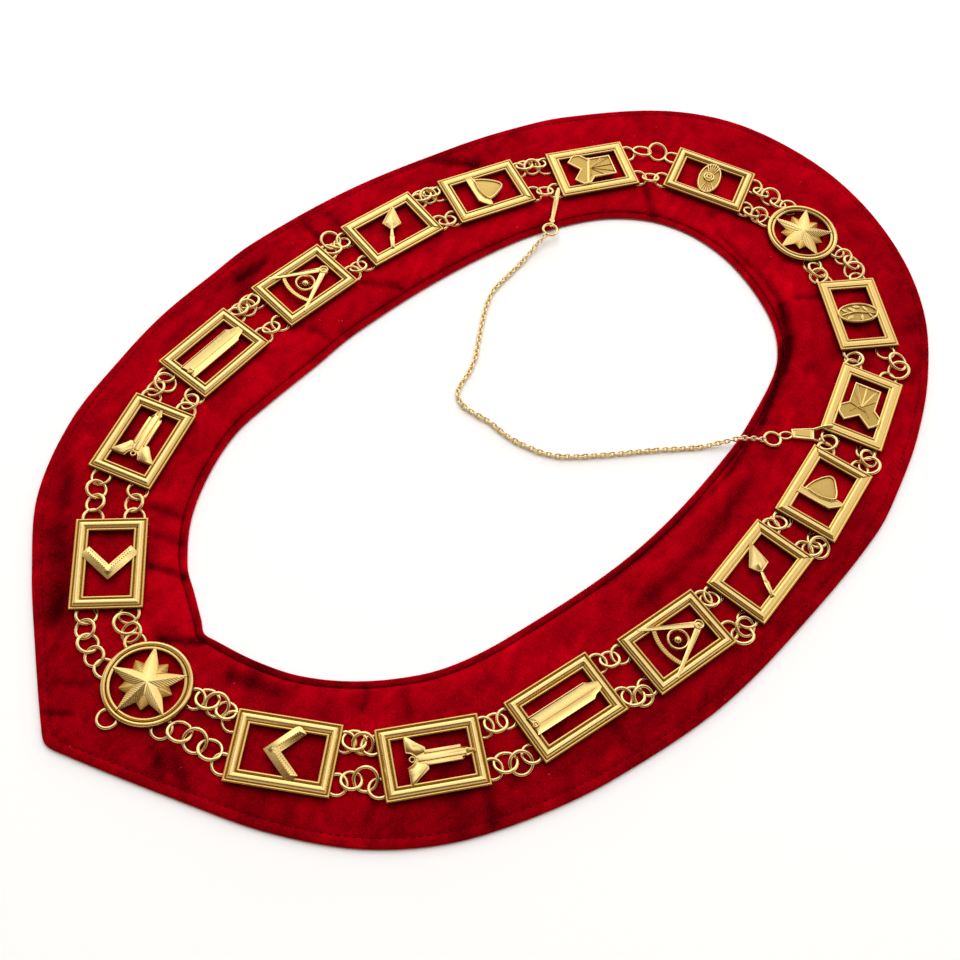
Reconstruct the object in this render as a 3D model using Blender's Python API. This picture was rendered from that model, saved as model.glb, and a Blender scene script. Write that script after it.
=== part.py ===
"""Chain collar of office, lying flat as one closed loop.

A padded velvet band carries two strands of jump rings. The strands join sixteen openwork bar medallions,
eight patterns on each side, and two round star medallions on the centre line. A fine chain with a clasp at
each end crosses the neck opening. Lengths are in millimetres until the last step of each shape, which turns
them to metres. Plan positions are measured from the midpoint between the two stars, with +Y towards the back
star, and place() moves them so that the origin is under the middle of the band's own box.
"""

import math

import bmesh
import bpy
from mathutils import Matrix, Vector

METRES = 0.001  # one millimetre
GAP = 0.3  # clearance between pieces that touch

# Velvet band: across it, from an edge inwards.
BAND_EDGE_HEIGHT = 1.2  # widest point of the rolled edge
BAND_ROLL = 1.2  # how far the rolled edge reaches in
BAND_SHOULDER = 2.4  # top of the rolled edge
BAND_HEM_IN, BAND_HEM_HEIGHT = 8.0, 3.1
BAND_CROWN_IN, BAND_CROWN = 18.0, 3.8
BAND_STEPS = 2  # stations between two rows of BAND_SECTIONS

# Jump rings.
RING_RADIUS = {"s": 4.1, "L": 4.7}  # small and large ring, to the middle of the wire
WIRE = 1.3
RING_SIDES = 8
RING_STAGGER = 0.15  # every second ring of a strand lies this much higher
RING_FROM_LUG = 2.6  # from the lug to the middle of the ring on it
RING_BASE = BAND_CROWN + GAP

# Bar medallions.
BAR_LENGTH, BAR_WIDTH = 42.0, 30.0
BAR_BASE = 6.0  # underside, clear of the rings that pass below it
LUG_IN, LUG_ASIDE, LUG_SIZE = 1.0, 8.7, 0.8
FRAME_PROFILE = (  # in from the outer edge, up from the underside
    (0.0, 0.0),
    (0.0, 1.4),
    (1.2, 1.4),
    (2.1, 2.35),
    (3.4, 2.35),
    (4.3, 1.4),
    (5.8, 1.4),
    (5.8, 0.0),
)
STAR_PROFILE = ((0.0, 0.0), (0.0, 1.3), (0.8, 2.1), (1.9, 2.1), (2.6, 1.4), (4.0, 1.4), (4.0, 0.0))
EMBLEM_BASE, EMBLEM_TOP = 0.8, 2.4

# Star medallions.
STAR_MIDDLE = 195.9  # from the midpoint between the stars
STAR_FRAME_RADIUS, STAR_FRAME_SIDES = 18.3, 20
STAR_POINT, STAR_VALLEY, STAR_EDGE, STAR_PEAK = 16.1, 6.6, 1.6, 2.9
SMALL_STAR_POINT, SMALL_STAR_VALLEY, SMALL_STAR_TOP = 11.2, 7.6, 1.7
STAR_LUG_IN = 1.1
JEWEL_RING_HEADING = 185.0

# Neck chain and its clasps.
CHAIN_WIDTH = 2.4
CHAIN_LIE = 1.25  # middle of the chain where it lies on the surface
CHAIN_STEP = 4.6
CLASP_BASE = RING_BASE
END_RING_RADIUS, END_RING_WIRE = 3.4, 1.2

BAND_SECTIONS = (  # outer x, outer y, inner x, inner y; from the front point round by the left side
    (-6.0, -239.5, -6.5, -165.0),
    (-13.0, -237.0, -12.0, -162.6),
    (-44.0, -221.0, -24.0, -157.8),
    (-74.3, -204.2, -36.0, -153.0),
    (-104.0, -183.5, -54.0, -138.8),
    (-128.0, -152.0, -68.5, -119.0),
    (-142.5, -118.5, -78.3, -98.0),
    (-152.6, -88.5, -82.5, -76.0),
    (-158.8, -57.0, -86.2, -48.0),
    (-163.4, -28.0, -90.0, -22.5),
    (-163.2, 32.0, -91.2, 28.0),
    (-154.3, 93.5, -87.2, 75.5),
    (-146.5, 126.5, -80.0, 104.0),
    (-136.0, 156.0, -70.5, 125.5),
    (-108.5, 202.5, -56.0, 142.5),
    (-78.0, 229.0, -38.5, 152.3),
    (-37.0, 242.5, -19.0, 156.0),
    (1.4, 242.7, -0.5, 154.6),
    (40.0, 231.5, 18.0, 149.6),
    (72.0, 211.5, 32.0, 142.8),
    (98.0, 182.5, 43.5, 132.5),
    (116.7, 152.0, 50.5, 121.5),
    (129.0, 124.5, 59.5, 98.5),
    (138.5, 97.0, 66.3, 76.5),
    (147.3, 41.0, 75.0, 28.5),
    (151.7, -18.0, 77.3, -12.5),
    (145.7, -74.0, 73.0, -68.5),
    (137.0, -109.0, 68.8, -91.5),
    (123.5, -142.3, 62.5, -108.0),
    (103.8, -169.8, 49.5, -128.5),
    (76.3, -193.3, 33.3, -145.2),
    (45.5, -212.0, 16.5, -155.7),
    (1.0, -236.8, -1.5, -163.4),
)
BAND_FOLDS = (  # x, y, depth, reach: puckers along the inner edge
    (52.0, 118.0, 1.3, 9.0),
    (46.0, 133.0, 0.9, 8.0),
    (66.0, 70.0, 0.7, 9.0),
    (-92.0, -18.0, 0.8, 8.0),
    (-4.0, -172.0, 0.6, 8.0),
)
BAR_MEDALLIONS = (  # side, number, x, y, heading in degrees from +X
    ("left", 1, -54.5, -178.5, 143.5),
    ("left", 2, -96.5, -134.5, 117.5),
    ("left", 3, -117.0, -82.5, 100.5),
    ("left", 4, -124.0, -26.0, 94.0),
    ("left", 5, -126.5, 29.5, 88.0),
    ("left", 6, -117.5, 83.5, 75.5),
    ("left", 7, -96.5, 138.0, 66.5),
    ("left", 8, -54.5, 183.0, 27.0),
    ("right", 1, 56.5, -171.0, 41.5),
    ("right", 2, 94.5, -127.0, 61.0),
    ("right", 3, 112.0, -71.5, 84.0),
    ("right", 4, 120.0, -15.5, 86.0),
    ("right", 5, 119.5, 37.0, 101.0),
    ("right", 6, 110.5, 89.0, 106.5),
    ("right", 7, 90.0, 139.0, 116.0),
    ("right", 8, 52.0, 179.5, 148.5),
)
STAR_LUGS = {  # degrees from +Y towards -X, by star, side and strand
    ("front", "left", "outer"): 125.0,
    ("front", "left", "inner"): 72.0,
    ("front", "right", "inner"): -53.0,
    ("front", "right", "outer"): -113.0,
    ("back", "left", "outer"): 58.0,
    ("back", "left", "inner"): 115.0,
    ("back", "right", "outer"): -64.0,
    ("back", "right", "inner"): -123.0,
}
STRANDS = {  # gaps from the front star to the back one: small and large rings, bow outwards, zigzag
    ("left", "outer"): (
        ("sssss", 3.0, 0.0),
        ("ssss", 0.5, 0.4),
        ("ssLs", -1.0, -1.2),
        ("sssLs", 0.3, -1.0),
        ("ssLss", 2.0, 2.2),
        ("sLsss", 1.5, -1.0),
        ("ssssL", 1.0, -1.0),
        ("sLLs", 2.6, 0.0),
        ("ssLss", -1.5, 0.6),
    ),
    ("left", "inner"): (
        ("ssLs", 1.6, 0.8),
        ("sss", 0.8, 0.0),
        ("sss", 0.4, 0.3),
        ("sss", 0.4, 0.0),
        ("sss", 0.6, 0.0),
        ("sss", -0.6, 0.3),
        ("sss", 0.0, 0.0),
        ("sss", 0.3, 0.0),
        ("ssss", 0.0, 0.4),
    ),
    ("right", "outer"): (
        ("sLLLs", -2.6, 0.3),
        ("ssLs", -2.6, -0.5),
        ("sLLs", 1.0, 1.2),
        ("sLss", 2.6, 0.8),
        ("sLss", 4.0, -1.2),
        ("ssLs", 3.0, 0.8),
        ("sLss", 3.0, -0.8),
        ("sLLs", 6.0, 0.0),
        ("sLsss", 2.0, 0.6),
    ),
    ("right", "inner"): (
        ("sLLss", -2.6, 0.3),
        ("sLss", -0.5, 0.4),
        ("sLs", 0.3, 0.0),
        ("sss", 0.4, 0.0),
        ("sss", 1.2, 0.0),
        ("sss", 0.4, 0.3),
        ("sss", 0.0, 0.4),
        ("sss", 0.5, 0.0),
        ("ssLs", -1.0, 0.8),
    ),
}
CHAIN_ROUTE = (  # x, y, height: from the left clasp's ring to the right one's
    (-78.8, 89.5, 4.7),
    (-77.0, 80.0, 2.7),
    (-74.8, 70.0, CHAIN_LIE),
    (-72.4, 58.0, CHAIN_LIE),
    (-70.0, 48.0, CHAIN_LIE),
    (-65.0, 39.0, CHAIN_LIE),
    (-52.0, 23.0, CHAIN_LIE),
    (-45.0, 15.0, CHAIN_LIE),
    (-40.5, 7.5, CHAIN_LIE),
    (-34.5, -5.0, CHAIN_LIE),
    (-27.0, -7.6, CHAIN_LIE),
    (-13.5, -4.0, CHAIN_LIE),
    (1.7, -1.3, CHAIN_LIE),
    (18.5, 7.6, CHAIN_LIE),
    (31.4, 24.5, CHAIN_LIE),
    (44.0, 45.0, CHAIN_LIE),
    (57.0, 65.0, CHAIN_LIE),
    (62.0, 74.0, 3.0),
    (66.0, 80.5, 5.0),
    (70.0, 85.3, 5.3),
    (73.1, 88.6, 5.1),
)


# Shared shapes


def smooth_path(points, steps, closed):
    """Catmull-Rom curve through the points, with the given number of steps between two of them."""
    points = [Vector(point) for point in points]
    count = len(points)
    path = []
    for index in range(count if closed else count - 1):
        if closed:
            near = [points[(index + offset) % count] for offset in (-1, 0, 1, 2)]
        else:
            near = [points[min(max(index + offset, 0), count - 1)] for offset in (-1, 0, 1, 2)]
        chord = max((near[2] - near[1]).length, 1e-6)
        # Tangents scaled to this chord keep short spans beside long ones from overshooting.
        lead = (near[2] - near[0]) * (chord / max((near[1] - near[0]).length + chord, 1e-6))
        trail = (near[3] - near[1]) * (chord / max((near[3] - near[2]).length + chord, 1e-6))
        for step in range(steps):
            t = step / steps
            path.append(
                near[1] * (2 * t**3 - 3 * t**2 + 1)
                + lead * (t**3 - 2 * t**2 + t)
                + near[2] * (3 * t**2 - 2 * t**3)
                + trail * (t**3 - t**2)
            )
    if not closed:
        path.append(points[-1])
    return path


def even_path(path, spacing):
    """Points of the path at even distances, its two ends included."""
    lengths = [0.0]
    for start, end in zip(path, path[1:]):
        lengths.append(lengths[-1] + (end - start).length)
    count = max(round(lengths[-1] / spacing), 1)
    points = []
    span = 0
    for index in range(count + 1):
        wanted = lengths[-1] * index / count
        while span < len(path) - 2 and lengths[span + 1] < wanted:
            span += 1
        share = (wanted - lengths[span]) / (lengths[span + 1] - lengths[span])
        points.append(path[span].lerp(path[span + 1], min(share, 1.0)))
    return points


def loft(sections):
    """Closed body through closed sections that themselves form a closed loop."""
    size = len(sections[0])
    points = [point for section in sections for point in section]
    faces = []
    for row in range(len(sections)):
        following = (row + 1) % len(sections)
        for column in range(size):
            beside = (column + 1) % size
            near, far = row * size, following * size
            faces.append((near + column, far + column, far + beside, near + beside))
    return points, faces


def prism(outline, low, high):
    """Upright body with the outline as its plan."""
    count = len(outline)
    points = [(x, y, low) for x, y in outline] + [(x, y, high) for x, y in outline]
    faces = [tuple(range(count)), tuple(range(count, 2 * count))]
    for index in range(count):
        beside = (index + 1) % count
        faces.append((index, beside, count + beside, count + index))
    return points, faces


def disc(middle_x, middle_y, radius, sides):
    turns = [2 * math.pi * (index + 0.5) / sides for index in range(sides)]
    return [(middle_x + radius * math.cos(turn), middle_y + radius * math.sin(turn)) for turn in turns]


def block(middle, size, heading, low, high):
    """Square post of the given size, turned to the heading in degrees."""
    across = size / math.sqrt(2)
    corners = [math.radians(heading + 45 + 90 * index) for index in range(4)]
    reach = [(across * math.cos(turn), across * math.sin(turn)) for turn in corners]
    return prism([(middle[0] + x, middle[1] + y) for x, y in reach], low, high)


def wire_ring(middle, radius, wire, low, heading):
    """Ring of wire lying flat, of three-sided section with the peak up."""
    sections = []
    for index in range(RING_SIDES):
        turn = math.radians(heading) + 2 * math.pi * index / RING_SIDES
        reach = Vector((math.cos(turn), math.sin(turn), 0.0))
        base = Vector((middle[0], middle[1], low))
        sections.append(
            [
                base + reach * (radius - wire / 2),
                base + reach * (radius + wire / 2),
                base + reach * radius + Vector((0.0, 0.0, wire)),
            ]
        )
    return loft(sections)


def closed_mesh(name, body):
    points, faces = body
    mesh = bpy.data.meshes.new(name)
    mesh.from_pydata([tuple(point) for point in points], [], faces)
    work = bmesh.new()
    work.from_mesh(mesh)
    bmesh.ops.recalc_face_normals(work, faces=work.faces)
    work.to_mesh(mesh)
    work.free()
    return mesh


def fuse(name, bodies):
    """One closed mesh, in metres, from bodies in millimetres that overlap."""
    scene = bpy.context.scene.collection.objects
    helpers = []
    for index, body in enumerate(bodies):
        helper = bpy.data.objects.new(f"{name} body {index}", closed_mesh(name, body))
        scene.link(helper)
        helpers.append(helper)
    for helper in helpers[1:]:
        union = helpers[0].modifiers.new("union", "BOOLEAN")
        union.operation = "UNION"
        union.object = helper
    graph = bpy.context.evaluated_depsgraph_get()
    mesh = bpy.data.meshes.new_from_object(helpers[0].evaluated_get(graph))
    mesh.name = name
    mesh.transform(Matrix.Scale(METRES, 4))
    for helper in helpers:
        bpy.data.objects.remove(helper)
    return mesh


def add_object(name, mesh, material, location=(0.0, 0.0, 0.0), heading=0.0):
    piece = bpy.data.objects.new(name, mesh)
    piece.location = location
    piece.rotation_euler.z = math.radians(heading)
    if not mesh.materials:
        mesh.materials.append(material)
    bpy.context.scene.collection.objects.link(piece)
    return piece


# Materials


def principled(name, colour, metallic, roughness):
    material = bpy.data.materials.new(name)
    material.use_nodes = True
    shader = material.node_tree.nodes["Principled BSDF"]
    shader.inputs["Base Color"].default_value = (*colour, 1.0)
    shader.inputs["Metallic"].default_value = metallic
    shader.inputs["Roughness"].default_value = roughness
    return material


def crimson_velvet():
    material = principled("crimson velvet", (0.30, 0.0, 0.01), 0.0, 0.9)
    shader = material.node_tree.nodes["Principled BSDF"]
    shader.inputs["Sheen Weight"].default_value = 0.6
    return material


def gilt_brass():
    return principled("gilt brass", (0.83, 0.62, 0.24), 1.0, 0.25)


def gilt_chain():
    return principled("gilt chain", (0.90, 0.72, 0.40), 1.0, 0.3)


# Velvet band


def band_edges():
    """The outer and the inner edge as matching closed paths in plan."""
    outer = smooth_path([(row[0], row[1]) for row in BAND_SECTIONS], BAND_STEPS, True)
    inner = smooth_path([(row[2], row[3]) for row in BAND_SECTIONS], BAND_STEPS, True)
    return outer, inner


def band_middle():
    """Middle of the band's box in plan, which becomes the origin."""
    outer = band_edges()[0]
    across = [point.x for point in outer]
    along = [point.y for point in outer]
    return Vector(((min(across) + max(across)) / 2, (min(along) + max(along)) / 2, 0.0))


def fold_depth(point):
    """How far the puckers pull the top down at this place."""
    return sum(
        depth * math.exp(-((point.x - x) ** 2 + (point.y - y) ** 2) / reach**2)
        for x, y, depth, reach in BAND_FOLDS
    )


def band_body():
    sections = []
    for outer, inner in zip(*band_edges()):
        width = (outer - inner).length
        heights = (
            (0.0, BAND_EDGE_HEIGHT),
            (BAND_ROLL, BAND_SHOULDER),
            (BAND_HEM_IN, BAND_HEM_HEIGHT),
            (BAND_CROWN_IN, BAND_CROWN),
            (width - BAND_CROWN_IN, BAND_CROWN),
            (width - BAND_HEM_IN, BAND_HEM_HEIGHT),
            (width - BAND_ROLL, BAND_SHOULDER),
            (width, BAND_EDGE_HEIGHT),
            (width - BAND_ROLL, 0.0),
            (BAND_ROLL, 0.0),
        )
        section = []
        for inset, height in heights:
            plan = inner.lerp(outer, inset / width)
            if height > BAND_EDGE_HEIGHT:
                height -= fold_depth(plan)
            section.append((plan.x, plan.y, height))
        sections.append(section)
    return loft(sections)


# Bar medallions: x runs from the front end to the back one, y to the left of that


def framed(profile, corners):
    """Moulded frame: the profile swept round corners that are given by a function of the inset."""
    return loft([[(*corner(inset), height) for inset, height in profile] for corner in corners])


def bar_frame():
    corners = [
        lambda inset, x=x, y=y: (x * (BAR_LENGTH / 2 - inset), y * (BAR_WIDTH / 2 - inset))
        for x, y in ((1, 1), (-1, 1), (-1, -1), (1, -1))
    ]
    return framed(FRAME_PROFILE, corners)


def mirrored(half):
    """Outline that is the same on both sides of the x axis, from its half with y over 0."""
    return list(half) + [(x, -y) for x, y in reversed(half) if y > 0]


def square_outline():
    return [[(-8.0, 0.0), (4.0, 12.0), (7.5, 8.5), (-1.0, 0.0), (7.5, -8.5), (4.0, -12.0)]]


def level_outline():
    wing = ((-6.9, 1.0), (-8.2, 2.6), (-10.2, 3.4), (-10.2, 10.6), (-8.3, 9.5), (-6.3, 7.6), (-2.2, 4.6))
    stem = ((-2.0, 3.1), (11.4, 3.1), (13.0, 2.0), (14.2, 1.7), (16.6, 0.9))
    return [mirrored(wing + stem), disc(-8.1, 0.0, 1.5, 8)]


def plumb_outline():
    return [mirrored(((-14.0, 1.7), (-17.0, 4.1), (11.5, 4.1), (13.0, 2.8), (17.2, 1.3)))]


def arc_outline(middle_x, reach, width, first, last, steps):
    """Part of a flat ring between two directions in degrees."""
    sweep = [math.radians(first + (last - first) * step / steps) for step in range(steps + 1)]
    outside, inside = (
        [(middle_x + size * math.cos(turn), size * math.sin(turn)) for turn in sweep]
        for size in (reach + width / 2, reach - width / 2)
    )
    return outside + inside[::-1]


def dividers_outline():
    hinge, sun = 12.0, 0.5
    leg = ((hinge, 2.2), (-10.6, 13.2), (-11.6, 12.3), (7.4, 0.3), (hinge, -0.6))
    outlines = [disc(hinge, 0.0, 2.4, 12), leg, [(x, -y) for x, y in reversed(leg)]]
    outlines.append(arc_outline(hinge, 19.4, 2.0, 152, 208, 8))
    outlines += [arc_outline(sun, 4.4, 1.1, first, first + 190, 8) for first in (0, 180)]
    outlines.append([(-4.2, -0.4), (5.2, -0.4), (5.2, 0.4), (-4.2, 0.4)])
    return outlines + [disc(sun, 0.0, 1.6, 10)]


def trowel_outline():
    blade = [(8.6, 11.6), (-2.7, 4.8), (-1.6, 0.2), (-0.6, -1.1), (5.2, -0.5)]
    handle = [(-1.5, -0.2), (-0.2, -0.8), (-3.4, -5.2), (-6.4, -10.8), (-8.3, -9.8), (-4.9, -5.0)]
    return [blade, handle]


def dome_outline():
    board = [(-7.1, 10.4), (-7.1, -5.4), (-2.8, -9.9), (-1.0, -9.9), (-0.7, -6.9)]
    dome = [(1.5, -5.6), (5.0, -3.8), (8.2, -1.4), (9.1, 0.5), (7.6, 3.0), (4.3, 5.4), (0.0, 7.5)]
    return [board + dome + [(-4.8, 8.6), (-4.8, 10.4)]]


def block_outline():
    return [mirrored(((-6.6, 0.0), (-11.8, 6.0), (-8.0, 9.8), (-4.0, 9.8), (-0.8, 6.4), (11.4, 6.4)))]


def oval_outline():
    return [[(5.7 * x, 10.5 * y) for x, y in disc(0.0, 0.0, 1.0, 16)]]


EMBLEMS = (
    ("square", square_outline),
    ("level", level_outline),
    ("plumb", plumb_outline),
    ("dividers", dividers_outline),
    ("trowel", trowel_outline),
    ("dome", dome_outline),
    ("block", block_outline),
    ("oval", oval_outline),
)


def lug(middle, heading=0.0):
    """Soldered post under a medallion, which a jump ring passes round."""
    return block(middle, LUG_SIZE, heading, RING_BASE - BAR_BASE, EMBLEM_BASE)


def bar_lug(end, side):
    """Plan place of a lug in the medallion: end is 1 at its back and -1 at its front, side 1 at its left."""
    return Vector((end * (BAR_LENGTH / 2 - LUG_IN), side * LUG_ASIDE))


def bar_medallion(name, outlines):
    lugs = [lug(bar_lug(end, side)) for end in (-1, 1) for side in (-1, 1)]
    emblem = [prism(outline, EMBLEM_BASE, EMBLEM_TOP) for outline in outlines]
    return fuse(name, [bar_frame()] + emblem + lugs)


# Star medallions: x runs to the back of the collar, y to its left


def star_outline(point, valley, first):
    turns = [(math.radians(first + 36 * index), point if index % 2 == 0 else valley) for index in range(10)]
    return [(reach * math.cos(turn), reach * math.sin(turn)) for turn, reach in turns]


def raised_star():
    """Five-point star whose facets rise to one peak."""
    outline = star_outline(STAR_POINT, STAR_VALLEY, 180)
    points = [(x, y, EMBLEM_BASE) for x, y in outline] + [(x, y, STAR_EDGE) for x, y in outline]
    points.append((0.0, 0.0, STAR_PEAK))
    faces = [tuple(range(10))]
    for index in range(10):
        beside = (index + 1) % 10
        faces.append((index, beside, 10 + beside, 10 + index))
        faces.append((10 + index, 10 + beside, 20))
    return points, faces


def star_medallion(name, lug_turns):
    turns = [2 * math.pi * index / STAR_FRAME_SIDES for index in range(STAR_FRAME_SIDES)]
    corners = [
        lambda inset, turn=turn: (
            (STAR_FRAME_RADIUS - inset) * math.cos(turn),
            (STAR_FRAME_RADIUS - inset) * math.sin(turn),
        )
        for turn in turns
    ]
    small = prism(star_outline(SMALL_STAR_POINT, SMALL_STAR_VALLEY, 0), EMBLEM_BASE, SMALL_STAR_TOP)
    reach = STAR_FRAME_RADIUS - STAR_LUG_IN
    lugs = [
        lug((reach * math.cos(math.radians(turn)), reach * math.sin(math.radians(turn))), turn)
        for turn in lug_turns
    ]
    return fuse(name, [framed(STAR_PROFILE, corners), small, raised_star()] + lugs)


def star_lug(end, turn):
    """Plan place of a star's lug: end is 1 for the back star and -1 for the front one."""
    reach = STAR_FRAME_RADIUS - STAR_LUG_IN
    turn = math.radians(turn)
    return Vector((-reach * math.sin(turn), end * STAR_MIDDLE + reach * math.cos(turn)))


# Strands of jump rings


def strand_ends(side, strand):
    """Plan places of the lugs at both ends of each gap, from the front star to the back one."""
    outwards = 1 if (side == "left") == (strand == "outer") else -1
    lugs = [star_lug(-1, STAR_LUGS["front", side, strand])]
    for bar_side, _, x, y, heading in BAR_MEDALLIONS:
        if bar_side == side:
            turn = Matrix.Rotation(math.radians(heading), 2)
            lugs += [Vector((x, y)) + turn @ bar_lug(end, outwards) for end in (-1, 1)]
    lugs.append(star_lug(1, STAR_LUGS["back", side, strand]))
    return list(zip(lugs[::2], lugs[1::2]))


def ring_middles(start, end, count, bow, zigzag, side):
    """Middles of the rings between two lugs: an arc that bows away from the neck opening, with a zigzag."""
    along = (end - start).normalized()
    outwards = Vector((-along.y, along.x)) if side == "left" else Vector((along.y, -along.x))
    first = start + along * RING_FROM_LUG
    last = end - along * RING_FROM_LUG
    middles = []
    for index in range(count):
        share = index / (count - 1)
        aside = bow * 4 * share * (1 - share)
        if 0 < index < count - 1:
            aside += zigzag * (-1) ** index
        middles.append(first.lerp(last, share) + outwards * aside)
    return middles


def strand_body(name, sizes, middles, heading):
    rings = [
        wire_ring(middle, RING_RADIUS[size], WIRE, RING_BASE + RING_STAGGER * (index % 2), heading)
        for index, (size, middle) in enumerate(zip(sizes, middles))
    ]
    return fuse(name, rings)


# Neck chain and clasps


def chain_curve(name, points, diameter):
    curve = bpy.data.curves.new(name, "CURVE")
    curve.dimensions = "3D"
    curve.bevel_depth = diameter / 2 * METRES
    curve.bevel_resolution = 2
    curve.use_fill_caps = True
    spline = curve.splines.new("POLY")
    spline.points.add(len(points) - 1)
    for knot, point in zip(spline.points, points):
        knot.co = (*(point * METRES), 1.0)
    return curve


def clasp_bodies(ring, eye, wrist, jaw, wide):
    """Ring, body and jaw of one clasp, from plan places along it and the body's width at the jaw."""
    along = (jaw - eye).normalized()
    across = Vector((-along.y, along.x))
    heading = math.degrees(math.atan2(along.y, along.x))
    body = [eye - across * 1.1, wrist - across * wide / 2, wrist + across * wide / 2, eye + across * 1.1]
    root = wrist - along
    tongue = [root - across * 0.8, jaw - across * 0.5, jaw + across * 0.5, root + across * 0.8]
    return [
        wire_ring(ring, END_RING_RADIUS, END_RING_WIRE, CLASP_BASE, heading),
        prism([tuple(point) for point in body], CLASP_BASE + 0.1, CLASP_BASE + 1.7),
        prism([tuple(point) for point in tongue], CLASP_BASE + 0.2, CLASP_BASE + 1.3),
    ]


CLASPS = (  # name, then plan places of the ring, eye, end of the body and jaw, and the body's width there
    ("clasp_left", (-80.1, 94.0), (-81.8, 96.9), (-91.0, 108.2), (-93.0, 110.5), 2.4),
    ("clasp_right", (75.7, 92.6), (77.6, 95.4), (84.2, 105.6), (87.2, 110.0), 6.0),
)


# Assembly


def place(plan, height=0.0):
    """World place, in metres, of a plan place."""
    return (Vector((plan[0], plan[1], height)) - band_middle()) * METRES


def clear_scene():
    for piece in list(bpy.data.objects):
        bpy.data.objects.remove(piece)


def build():
    clear_scene()
    velvet, gilt, chain = crimson_velvet(), gilt_brass(), gilt_chain()
    origin = place((0.0, 0.0))

    band = closed_mesh("velvet band", band_body())
    band.transform(Matrix.Scale(METRES, 4))
    band.shade_smooth()
    band.set_sharp_from_angle(angle=math.radians(60))
    add_object("velvet_collar", band, velvet, origin)

    castings = {name: bar_medallion(name, outline()) for name, outline in EMBLEMS}
    for side, number, x, y, heading in BAR_MEDALLIONS:
        emblem = EMBLEMS[number - 1][0]
        add_object(f"{side}_{number}_{emblem}", castings[emblem], gilt, place((x, y), BAR_BASE), heading)

    for star, end in (("front", -1), ("back", 1)):
        turns = [turn for (at, _, _), turn in STAR_LUGS.items() if at == star]
        if star == "front":
            turns.append(JEWEL_RING_HEADING)
        mesh = star_medallion(f"{star} star", turns)
        add_object(f"star_{star}", mesh, gilt, place((0.0, end * STAR_MIDDLE), BAR_BASE), 90.0)

    for (side, strand), gaps in STRANDS.items():
        for number, ((start, end), gap) in enumerate(zip(strand_ends(side, strand), gaps), 1):
            sizes, bow, zigzag = gap
            heading = math.degrees(math.atan2((end - start).y, (end - start).x))
            name = f"rings_{side}_{strand}_{number}"
            middles = ring_middles(start, end, len(sizes), bow, zigzag, side)
            add_object(name, strand_body(name, sizes, middles, heading), gilt, origin)

    jewel_lug = star_lug(-1, JEWEL_RING_HEADING)
    away = (jewel_lug - Vector((0.0, -STAR_MIDDLE))).normalized()
    jewel_ring = wire_ring(jewel_lug + away * RING_FROM_LUG, RING_RADIUS["s"], WIRE, RING_BASE, 0.0)
    add_object("jewel_ring", fuse("jewel ring", [jewel_ring]), gilt, origin)

    for name, *places, wide in CLASPS:
        bodies = clasp_bodies(*(Vector(point) for point in places), wide)
        add_object(name, fuse(name, bodies), gilt, origin)

    route = even_path(smooth_path(CHAIN_ROUTE, 12, False), CHAIN_STEP)
    add_object("neck_chain", chain_curve("neck chain", route, CHAIN_WIDTH), chain, origin)


build()
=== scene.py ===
import math

import bmesh
import bpy
import numpy as np
from mathutils import Matrix, Vector, noise


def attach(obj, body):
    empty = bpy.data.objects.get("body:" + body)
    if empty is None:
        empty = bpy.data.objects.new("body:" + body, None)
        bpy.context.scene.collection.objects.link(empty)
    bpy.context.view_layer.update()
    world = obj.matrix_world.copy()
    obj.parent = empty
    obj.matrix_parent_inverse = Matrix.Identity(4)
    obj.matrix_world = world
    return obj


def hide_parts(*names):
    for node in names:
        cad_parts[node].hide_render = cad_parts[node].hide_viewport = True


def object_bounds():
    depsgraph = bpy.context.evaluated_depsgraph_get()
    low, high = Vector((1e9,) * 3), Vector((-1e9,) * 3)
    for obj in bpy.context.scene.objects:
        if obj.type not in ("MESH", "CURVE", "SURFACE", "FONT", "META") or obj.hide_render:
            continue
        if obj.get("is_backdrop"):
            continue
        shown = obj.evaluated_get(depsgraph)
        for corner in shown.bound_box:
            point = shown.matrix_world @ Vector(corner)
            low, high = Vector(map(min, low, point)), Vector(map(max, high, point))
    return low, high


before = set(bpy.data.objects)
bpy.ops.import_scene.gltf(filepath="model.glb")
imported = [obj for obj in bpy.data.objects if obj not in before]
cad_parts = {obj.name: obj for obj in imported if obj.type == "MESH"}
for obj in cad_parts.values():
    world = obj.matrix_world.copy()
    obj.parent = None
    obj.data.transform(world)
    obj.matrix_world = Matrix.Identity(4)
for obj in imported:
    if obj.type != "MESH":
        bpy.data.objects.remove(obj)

cad_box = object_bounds()

# ---- Velvet band
# Cotton velvet over a flat padded core, cut as two halves of a horseshoe. The hems are turned under and
# stitched all round, and the pile is crushed in soft patches where the band was folded.

MM = 0.001

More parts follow.
